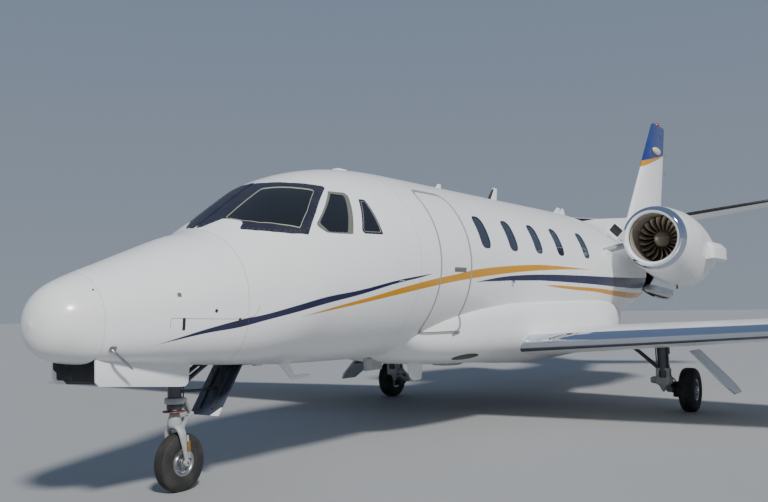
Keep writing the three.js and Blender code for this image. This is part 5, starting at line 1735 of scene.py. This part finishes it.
def make_main_doors():
    """A plate on each main leg, folded outwards near its lower end."""
    panel_line = [(2.4, 0.8), (2.425, 0.79), (2.7, 0.52), (2.92, 0.29), (2.895, 0.282),
        (2.68, 0.505)]
    panel = lengthways(panel_line, 7.66, 8.15)
    for corner_s, sign in ((7.66, 1), (8.15, -1)):
        corner = prism([at(2.8, corner_s - sign * 0.01, 0.1),
            at(2.8, corner_s + sign * 0.001, 0.39),
            at(2.8, corner_s + sign * 0.085, 0.27), at(2.8, corner_s + sign * 0.085, 0.1)],
            (0.3, 0, 0))
        carve(panel, corner)
    bevel(panel, 0.004, 2, 35)
    pair(panel, "main_door_panel", WHITE_PAINT, slot="surface_paint", stands=["main_door_*"])
    inner = lengthways([(2.402, 0.783), (2.408, 0.7865), (2.684, 0.513), (2.678, 0.508)], 7.7, 8.11)
    carve(inner, lengthways([(2.3, 0.7), (2.3, 0.9), (2.41, 0.9), (2.41, 0.7)], 7.6, 8.2))
    ribs = [inner]
    for s in (7.74, 7.9, 8.06):
        ribs.append(bevel(lengthways([(2.412, 0.771), (2.424, 0.78), (2.66, 0.548), (2.65, 0.537)],
            s - 0.012,
            s + 0.012), 0.002))
    ribs.append(hose([at(2.075, 7.87, 0.565), at(2.36, 7.87, 0.565), at(2.625, 7.87, 0.56)],
        (0.018, 0.014, 0.018),
        16))
    ribs.append(tube(at(2.625, 7.845, 0.558), at(2.625, 7.895, 0.558), 0.02, edge=0.002))
    pair(joined(*ribs), "main_door_frame", DARK_METAL, slot="gear_metal")


def make_wells():
    """A lined wheel well under the nose, with frames and lines."""
    back = WELL["back"]
    liners = [
        block(at(-WELL["half"] + 0.001, 0.512, 1.318), at(WELL["half"] - 0.001, 1.61, 1.3295)),
        block(at(-WELL["half"] + 0.001, 1.632, 1.17),
            at(WELL["half"] - 0.001, back - 0.001, 1.1795)),
    ]
    for s in (0.62, 0.8, 0.98, 1.16, 1.34, 1.52):
        liners.append(block(at(-WELL["half"] + 0.001, s - 0.008, 1.295),
            at(WELL["half"] - 0.001, s + 0.008, 1.32), 0.002))
    for s in (1.75, 1.92, 2.08):
        liners.append(block(at(-WELL["half"] + 0.001, s - 0.008, 1.148),
            at(WELL["half"] - 0.001, s + 0.008, 1.172), 0.002))
    for x in (-0.13, 0.13):
        liners.append(block(at(x - 0.006, 0.53, 1.285), at(x + 0.006, 1.6, 1.32), 0.002))
    piece(joined(*liners), "nose_well_frames", WELL_PAINT)
    lines = []
    for x, z in ((0.19, 1.27), (0.16, 1.29), (-0.18, 1.28)):
        points = [at(x, 0.6, z), at(x - 0.02, 0.9, z - 0.01), at(x + 0.01, 1.2, z),
            at(x * 0.6, 1.4, z - 0.06)]
        lines.append(hose(curve_through(points, 6), 0.007, 10))
    piece(joined(*lines), "nose_well_lines", DARK_METAL)


# Flight deck and cabin

def cushion(low, high, axis, side, crown, pull, cuts=5):
    """A padded form: one face swells, and the edges around it pull in between their corners."""
    obj = block(low, high)
    edit(obj, lambda: bpy.ops.mesh.subdivide(number_cuts=cuts))
    middle, half = (Vector(low) + Vector(high)) / 2, (Vector(high) - Vector(low)) / 2
    first, second = [i for i in range(3) if i != axis]
    for vertex in obj.data.vertices:
        place = [(vertex.co[i] - middle[i]) / half[i] for i in range(3)]
        swell = max(0, 1 - place[first] ** 2) * max(0, 1 - place[second] ** 2)
        if place[axis] * side > 0:
            vertex.co[axis] += side * crown * swell ** 0.7 * abs(place[axis])
        vertex.co[first] -= place[first] * pull * (1 - place[second] ** 2)
        vertex.co[second] -= place[second] * pull * (1 - place[first] ** 2)
    return shape(obj, "SUBSURF", levels=2, render_levels=2)


def leaned(obj, foot, degrees):
    turn_by = Matrix.Translation(foot) @ Matrix.Rotation(math.radians(degrees), 4,
        "X") @ Matrix.Translation(-Vector(foot))
    obj.data.transform(turn_by)
    return obj


def seat_parts(rise):
    """A seat on the origin that faces the nose: its soft parts, then its hard parts."""
    foot = (0, 0.225, rise + 0.1)
    soft = {
        "cushion": cushion((-0.232, -0.258, rise + 0.006), (0.232, 0.226, rise + 0.118), 2, 1,
            0.024, 0.01),
        "back": leaned(cushion((-0.215, 0.222, rise + 0.125), (0.215, 0.318, rise + 0.69), 1, -1,
            0.03, 0.01), foot, -15.4),
        "headrest": leaned(cushion((-0.15, 0.232, rise + 0.705), (0.15, 0.302, rise + 0.88), 1, -1,
            0.02, 0.012), foot,
            -14.0),
    }
    shell = prism([Vector((-0.225, s, rise + z)) for s, z in (
        (0.318, 0.06), (0.355, 0.06), (0.47, 0.64), (0.516, 0.86), (0.492, 0.862), (0.452, 0.66),
        (0.34, 0.15),
        )], (0.45, 0, 0))
    hard = [
        bevel(shell, 0.008),
        block((-0.15, -0.18, 0.005), (0.15, 0.2, rise - 0.012), 0.012),
        block((-0.236, -0.25, rise - 0.012), (0.236, 0.335, rise + 0.004), 0.005),
    ]
    for side in (-1, 1):
        x = side * 0.265
        hard.append(block((x - 0.028, -0.19, rise), (x + 0.028, 0.23, rise + 0.196), 0.012))
        soft["arm_" + ("left" if side == 1 else "right")] = cushion(
            (x - 0.03, -0.2, rise + 0.196), (x + 0.03, 0.235, rise + 0.226), 2, 1, 0.006, 0.002, 3)
    return soft, hard


def make_seats(kind, spots, rise, node_name):
    """One seat is modelled and copied to each spot of (x, station, floor, facing)."""
    soft, hard = seat_parts(rise)
    bodies = []
    for number, (x, station, floor, facing) in enumerate(spots, 1):
        place = Matrix.Translation(at(x, station, floor))
        if facing < 0:
            place = place @ Matrix.Rotation(math.pi, 4, "Z")
        for label, source in soft.items():
            made = copy_of(source)
            made.data.transform(place)
            piece(made, f"{kind}_{number}_{label}", LEATHER,
                stands=[node_name], angle=60)
        for source in hard:
            made = copy_of(source)
            made.data.transform(place)
            carve(made, hull(steps_between(2.7, 9.3, 0.2), -0.064, 64), "INTERSECT")
            bodies.append(made)
    drop(*soft.values(), *hard)
    return bodies


def make_cabin_seats():
    deck = 1.0803
    spots = [(side * 0.47, s, deck, facing) for s,
        facing in ((5.35, -1), (6.5, 1), (7.0, -1), (8.15, 1))
        for side in (1, -1)]
    hard = make_seats("cabin_seat", spots, 0.25, "cabin_seats")
    inside = hull(steps_between(4.7, 8.7, 0.2), -0.064, 64)
    for side in (-1, 1):
        for x in (0.335, 0.6):
            rail = block(at(side * x - 0.022, 4.9, deck), at(side * x + 0.022, 8.5, deck + 0.013),
                0.003)
            hard.append(carve(rail, inside, "INTERSECT", keep=True))
    drop(inside)
    piece(joined(*hard), "cabin_seat_frames", TRIM, stands=["cabin_seats"])
    tables = []
    for side in (-1, 1):
        edge = side * 0.44
        table = block(at(min(edge, side * 0.8), 5.66, 1.7), at(max(edge, side * 0.8), 6.19, 1.722),
            0.006)
        carve(table, hull(steps_between(5.3, 6.5, 0.1), -0.066, 64), "INTERSECT")
        tables.append(table)
    piece(joined(*tables), "cabin_tables",
        finish("table_veneer", (0.19, 0.085, 0.035), 0.25, soiling=0.3, soil_size=5,
            coat=0.4))
    dress(CARPET, "cabin_floor")


def make_flight_deck():
    floor = 1.2503
    hard = make_seats("crew_seat", [(0.33, 3.06, floor, 1), (-0.33, 3.06, floor, 1)], 0.26,
        "crew_seats")
    for x in (-0.52, -0.14, 0.14, 0.52):
        hard.append(block(at(x - 0.02, 2.88, floor), at(x + 0.02, 3.34, floor + 0.018), 0.003))
    piece(joined(*hard), "crew_seat_frames", TRIM, stands=["crew_seats"])

    side_line = [(2.06, 1.56), (2.3, 1.5), (2.395, 1.5), (2.325, 1.905), (2.06, 1.905)]
    board = across(side_line, -0.8, 0.8)
    inside = hull(steps_between(1.7, 2.8, 0.04), -0.064, 96)
    carve(board, inside, "INTERSECT", keep=True)
    hood_line = [(2.06, 1.89), (2.33, 1.89), (2.35, 1.905), (2.348, 1.935), (2.325, 1.952),
        (1.98, 2.01),
        (1.945, 1.965)]
    hood = carve(across(rounded(hood_line, 0.008), -0.8, 0.8), inside, "INTERSECT", keep=True)
    drop(inside)
    console = block(at(-0.11, 2.18, floor), at(0.11, 2.7, 1.6), 0.012)
    piece(joined(board, console), "instrument_board", PANEL,
        stands=["instrument_panel"])
    piece(hood, "glareshield", BLACK_PAINT)

    slope = Vector((0, 2.325 - 2.395, 1.905 - 1.5)).normalized()
    out = Vector((0, slope.z, -slope.y))
    base = at(0, 2.395, 1.5)
    screens, bezels = [], []
    for x, low, wide, tall in ((-0.4, 0.15, 0.125, 0.19), (-0.13, 0.15, 0.105, 0.19),
            (0.13, 0.15, 0.105, 0.19),
            (0.4, 0.15, 0.125, 0.19), (0.0, 0.03, 0.16, 0.08)):
        for grow, thick, bag in ((0.012, 0.007, bezels), (0.0, 0.01, screens)):
            start = base + slope * (low - grow)
            corners = [start + Vector((x - wide - grow, 0, 0)),
                start + Vector((x + wide + grow, 0, 0)),
                start + Vector((x + wide + grow, 0, 0)) + slope * (tall + 2 * grow),
                start + Vector((x - wide - grow, 0, 0)) + slope * (tall + 2 * grow)]
            bag.append(bevel(prism(corners, out * thick), 0.002))
    knobs = []
    for x in (-0.46, -0.34, -0.16, -0.06, 0.06, 0.16, 0.34, 0.46):
        spot = base + slope * 0.105 + Vector((x, 0, 0))
        knobs.append(tube(spot, spot + out * 0.018, 0.01, 0.008, sides=20, edge=0.0015))
    for x in (-0.045, 0.045):
        knobs.append(hose([at(x, 2.46, 1.598), at(x, 2.47, 1.66), at(x, 2.48, 1.705)],
            (0.006, 0.006, 0.012), 12))
    for x in (-0.055, 0.0, 0.055):
        for s in (2.55, 2.6, 2.65):
            knobs.append(block(at(x - 0.016, s - 0.012, 1.6), at(x + 0.016, s + 0.012, 1.606),
                0.002))
    piece(joined(*screens), "display_glass",
        finish("display_glass", (0.012, 0.015, 0.022), 0.08, soiling=0.05,
            spread_by=0.04, grain=0.01, coat=0.4))
    piece(joined(*bezels, *knobs), "panel_fittings", BLACK_PAINT)
    for x in (-0.33, 0.33):
        wheel = curve_through([
            at(x - 0.115, 2.64, 1.8), at(x - 0.14, 2.63, 1.74), at(x - 0.125, 2.61, 1.68),
            at(x - 0.06, 2.6, 1.655), at(x, 2.595, 1.65), at(x + 0.06, 2.6, 1.655),
            at(x + 0.125, 2.61, 1.68),
            at(x + 0.14, 2.63, 1.74), at(x + 0.115, 2.64, 1.8),
            ], 5)
        grip = hose(wheel, 0.014, 16)
        column = tube(at(x, 2.36, 1.62), at(x, 2.6, 1.65), 0.016, edge=0.002)
        hub = block(at(x - 0.04, 2.585, 1.63), at(x + 0.04, 2.615, 1.68), 0.008)
        piece(joined(grip, column, hub), f"control_yoke_{'left' if x > 0 else 'right'}",
            BLACK_PAINT)


# Small fittings

def outward(station, z):
    """Where the left side of the fuselage is at a height, and which way it faces there."""
    top, bottom, half, widest = spread(HULL, station)
    reach = top - widest if z > widest else widest - bottom
    x = hull_x(station, z)
    return at(x, station, z), Vector((x / half**2, 0, (z - widest) / reach**2)).normalized()


def stud(station, z, radius, high, sides=24, edge=0.0):
    spot, out = outward(station, z)
    return tube(spot - out * 0.006, spot + out * high, radius, sides=sides, edge=edge)


def plate_on(points, high, depth=0.008, corner=0.004):
    """A plate that follows the left side of the fuselage inside an outline of (station, z)."""
    low, top = min(s for s, _ in points), max(s for s, _ in points)
    rows = steps_between(low - 0.02, top + 0.02, 0.03)
    made = hull_shell(rows, high, -depth, 128)
    return carve(made, across(rounded(points, corner), 0.1, 1.3), "INTERSECT")


def blade(front, back, top_front, top_back, low, high, half, lean=0.0):
    """A thin mast on the centre line with a rounded leading edge."""
    rings = []
    for share in (0, 0.5, 0.9, 1.0):
        nose = front + (top_front - front) * share
        tail = back + (top_back - back) * share
        thick = half * (1 - 0.35 * share) * (0.55 if share == 1 else 1)
        ring = []
        for i in range(28):
            angle = 2 * math.pi * i / 28
            along = 0.5 - 0.5 * math.cos(angle)
            wide = math.sin(angle) * (1 - 0.55 * along)
            ring.append(at(wide * thick + lean * share, nose + (tail - nose) * along,
                low + (high - low) * share))
        rings.append(ring)
    return skin(rings)


def make_nose_fittings():
    piece(stud(0.472, 1.562, 0.009, 0.002), "radome_stud", BARE_METAL)
    pair(stud(1.332, 1.403, 0.014, 0.0025), "nose_side_stud", BLACK_PAINT, slot="gear_metal")
    vent = plate_on([(1.029, 1.509), (1.059, 1.509), (1.059, 1.539), (1.029, 1.539)], 0.0012)
    pair(vent, "nose_side_vent", FRAME_GREY, slot="gear_metal")
    latches = []
    for s, low, high in ((1.07, 1.269, 1.357), (1.54, 1.278, 1.346)):
        latches.append(plate_on([(s - 0.011, low), (s + 0.011, low), (s + 0.011, high),
            (s - 0.011, high)], 0.0022))
        latches.append(stud(s, low + 0.018, 0.006, 0.0035, 12))
        latches.append(stud(s, high - 0.018, 0.006, 0.0035, 12))
    pair(joined(*latches), "nose_bay_latches", BLACK_PAINT, slot="gear_metal")
    line = [(0.965, 1.29), (0.97, 1.335), (0.994, 1.355), (1.214, 1.348), (1.539, 1.34),
        (1.64, 1.35), (1.69, 1.375),
        (1.712, 1.41), (1.715, 1.445)]
    points = [at(hull_x(p.x, p.y, -0.0004), p.x,
        p.y) for p in curve_through([Vector(q) for q in line], 5)]
    pair(hose(points, 0.0016, 6), "nose_bay_line", BLACK_PAINT)
    mast = hose(curve_through([at(0.33, 0.568, 1.159), at(0.352, 0.59, 1.122),
        at(0.362, 0.66, 1.062),
        at(0.36, 0.725, 1.009)], 6), [0.016, *[0.012] * 14, 0.009, 0.008, 0.006, 0.004], 20, 0.7)
    foot = plate_on([(0.55, 1.136), (0.6, 1.133), (0.6, 1.176), (0.55, 1.179)], 0.003, 0.008, 0.015)
    pair(joined(mast, foot), "air_data_mast", BARE_METAL, slot="gear_metal")
    post = hull_shell(steps_between(1.63, 2.39, 0.03), 0.006, -0.01, 192)
    carve(post, upright([(-0.022, 1.64), (0.022, 1.64), (0.022, 2.372), (-0.022, 2.372)], 1.8, 2.9),
        "INTERSECT")
    piece(post, "windscreen_post", FRAME_BLACK)


def make_roof_fittings():
    piece(block(at(-0.045, 3.62, 2.755), at(0.045, 3.77, 2.806), 0.012, 3), "roof_box", WHITE_PAINT)
    piece(blade(7.036, 7.19, 7.231, 7.295, 2.79, 2.978, 0.015), "roof_blade_front", BLACK_PAINT)
    piece(blade(5.6, 5.8, 5.72, 5.79, 2.78, 2.874, 0.01), "roof_blade_small", WHITE_PAINT)
    piece(blade(7.04, 7.34, 7.235, 7.365, 2.78, 2.985, 0.014), "roof_blade_tall", WHITE_PAINT)
    piece(blade(7.02, 7.36, 7.06, 7.35, 2.775, 2.808, 0.022), "roof_blade_foot", BLACK_PAINT)
    twin = joined(blade(9.3, 9.64, 9.48, 9.6, 2.775, 2.905, 0.01, 0.02),
        blade(9.62, 9.9, 9.76, 9.85, 2.775, 2.917, 0.01, -0.02))
    piece(twin, "roof_blade_twin", WHITE_PAINT)


def make_belly_fittings():
    antenna = prism([at(-0.012, s, z) for s, z in (
        (2.716, 0.912), (2.847, 0.91), (2.934, 0.79), (3.15, 0.788), (3.168, 0.778), (3.15, 0.766),
        (2.93, 0.755),
        (2.895, 0.758))], (0.024, 0, 0))
    piece(bevel(antenna, 0.005), "belly_bent_antenna", WHITE_PAINT)
    piece(block(at(-0.02, 4.1, 0.745), at(0.02, 4.4, 0.87), 0.008), "belly_box_antenna", GREY_PAINT)
    line = [(4.937, 0.8), (5.267, 0.79), (5.236, 0.585), (5.22, 0.57), (5.06, 0.57), (4.99, 0.62)]
    piece(bevel(prism([at(-0.011, s, z) for s, z in line], (0.022, 0, 0)), 0.006),
        "belly_blade_antenna", WHITE_PAINT)
    dome = lathe([(0.0, 0.69), (0.1, 0.691), (0.165, 0.698), (0.205, 0.718), (0.205, 0.76),
        (0.0, 0.76)],
        at(0, 5.84, 0), (0, 0, 1), 64)
    piece(dome, "belly_dome", LENS)
    oval = [Vector((5.045 + 0.215 * math.cos(a), 0.85 + 0.034 * math.sin(a))) for a in
        (2 * math.pi * i / 36 for i in range(36))]
    patch = carve(fairing_form(0.0016), across([tuple(p) for p in oval], 0.45, 1.0), "INTERSECT")
    pair(patch, "belly_side_inlet", BLACK_PAINT)
    beacon = lathe([(0.0, 0.64), (0.03, 0.646), (0.05, 0.668), (0.056, 0.7), (0.056, 0.76),
        (0.0, 0.76)],
        at(0, 7.2, -0.012), (0, 0, 1), 32)
    piece(beacon, "belly_beacon", RED_LENS)


def make_side_fittings():
    piece(stud(5.757, 1.664, 0.024, 0.026, 32, 0.01), "navy_band_lamp_left", CHROME)
    handle = plate_on([(4.345, 1.75), (4.6, 1.75), (4.6, 1.797), (4.345, 1.797)], 0.0022, 0.008,
        0.012)
    inner = plate_on([(4.375, 1.762), (4.54, 1.762), (4.54, 1.785), (4.375, 1.785)], 0.0045, 0.004,
        0.008)
    piece(joined(handle, bevel(inner, 0.001, 1, 60)), "cabin_door_handle", FRAME_GREY, "cabin_door")
    hinge = [tube(at(0.805, 4.6465, 1.132), at(0.805, 4.68, 1.132), 0.01, sides=24, edge=0.001)]
    piece(joined(*hinge), "cabin_door_hinge_fixed", BARE_METAL)
    piece(tube(at(0.805, 4.56, 1.132), at(0.805, 4.64, 1.132), 0.01, sides=24, edge=0.001),
        "cabin_door_hinge_leaf",
        BARE_METAL, "cabin_door")

    start = at(hull_x(11.3, 1.6) + 0.006, 11.3, 1.596)
    end = at(hull_x(12.2, 1.69) + 0.006, 12.2, 1.686)
    along = (end - start).normalized()
    fixed = [tube(start, start + along * 0.06, 0.0055, sides=24, edge=0.001),
        tube(end - along * 0.06, end, 0.0055, sides=24, edge=0.001)]
    piece(joined(*fixed), "baggage_hinge_fixed", BARE_METAL)
    length = (end - start).length
    leaves = [tube(start + along * s, start + along * (s + 0.09), 0.005, sides=20) for s in (0.0605,
        length - 0.1505)]
    piece(joined(*leaves), "baggage_hinge_leaves", BARE_METAL, "baggage_door")


def make_scoop():
    """The raised air intake high on each side of the tail."""
    def ring(station, low, high, tall, sink):
        ridge, half, foot = spread(DORSAL, station)
        slope = Vector((half, 0, foot - ridge)).normalized()
        out = Vector((-slope.z, 0, slope.x))
        middle = at(0, station, ridge) + slope * 0.4
        return [middle + slope * a + out * b for a,
            b in ((low, -sink), (high, -sink), (high, tall), (low, tall))]

    rows = ((11.38, 0.115), (11.7, 0.115), (11.95, 0.07), (12.2, 0.01))
    housing = skin([ring(s, -0.12, 0.12, tall + 0.045, 0.05) for s, tall in rows])
    carve(housing, skin([ring(s, -0.1, 0.1, 0.14, 0.01) for s in (11.28, 11.68)]))
    bevel(housing, 0.006, 2, 40)
    pair(housing, "tail_air_scoop", WHITE_PAINT, angle=45)
    # Painted shade: a black block fills the scoop just behind its mouth, standing for the unlit duct
    # inside.
    lining = skin([ring(s, -0.0995, 0.0995, 0.1395, 0.0095) for s in (11.41, 11.675)])
    pair(lining, "tail_scoop_painted_shade", BLACK_PAINT, slot="cabin_trim")


def wick(start, end):
    return tube(start, end, 0.0035, 0.0015, 10)


def make_tail_fittings():
    beacon = lathe([(0.0, 5.24), (0.022, 5.236), (0.042, 5.216), (0.05, 5.19), (0.05, 5.18),
        (0.0, 5.18)],
        at(0, 15.4, 0), (0, 0, 1), 40)
    piece(beacon, "fin_beacon", RED_LENS)
    slot = block(at(-0.04, 15.44, 4.955), at(0.04, 15.53, 4.98), 0.004)
    piece(slot, "fin_side_slot", BLACK_PAINT, "rudder")
    oval = [(0.075 * math.sin(math.pi * i / 20),
        15.02 - 0.27 * math.cos(math.pi * i / 20)) for i in range(21)]
    blister = lathe(oval, at(0, 0, 4.57), (0, 1, 0), 40)
    blister.data.transform(Matrix.Translation((0.075, 0, 0)) @ Matrix.Diagonal((0.7, 1, 1, 1)))
    pair(blister, "fin_blister", finish("cream_paint", (0.7, 0.66, 0.52), **PAINT))
    rudder_wicks = [wick(at(0, 15.9, 4.6), at(0, 16.02, 4.585)),
        wick(at(0, 15.87, 4.2), at(0, 15.99, 4.185))]
    piece(joined(*rudder_wicks), "rudder_wicks", BLACK_PAINT, "rudder")
    wicks = [wick(at(3.06, 15.325, 3.388), at(3.06, 15.43, 3.388)),
        wick(at(2.7, 15.33, 3.325), at(2.7, 15.42, 3.325))]
    pair(joined(*wicks), "elevator_wicks", BLACK_PAINT, "elevator_*", "surface_paint")


def make_wing_fittings():
    pad = tube(at(1.45, 7.25, 0.9), at(1.45, 7.25, 0.808), 0.045, edge=0.002)
    pair(pad, "wing_jack_pad", BARE_METAL, slot="gear_metal")
    wicks = [tube(at(x, 7.47, 1.352), at(x, 7.6, 1.348), 0.0035, 0.0015, 10) for x in (7.6, 8.05)]
    pair(joined(*wicks), "aileron_wicks", BLACK_PAINT, "aileron_*", "surface_paint")
    drain = [tube(at(1.6, 10.34, 1.76), at(1.6, 10.34, 1.6), 0.014, 0.012, sides=20, edge=0.002),
        tube(at(1.64, 10.52, 1.76), at(1.64, 10.54, 1.66), 0.009, 0.008, sides=16, edge=0.001)]
    pair(joined(*drain), "nacelle_drain_mast", BLACK_PAINT, slot="engine_metal")


make_stage()
make_nose()
make_cockpit()
make_cockpit_windows()
make_cabin()
make_door_and_fairing()
make_tail_cone()
make_baggage_door()
make_wings()
make_fin()
make_stabilizer()
make_engines()
make_nose_gear()
make_nose_doors()
make_main_gear()
make_main_doors()
make_wells()
make_cabin_seats()
make_flight_deck()
make_nose_fittings()
make_roof_fittings()
make_belly_fittings()
make_side_fittings()
make_scoop()
make_tail_fittings()
make_wing_fittings()
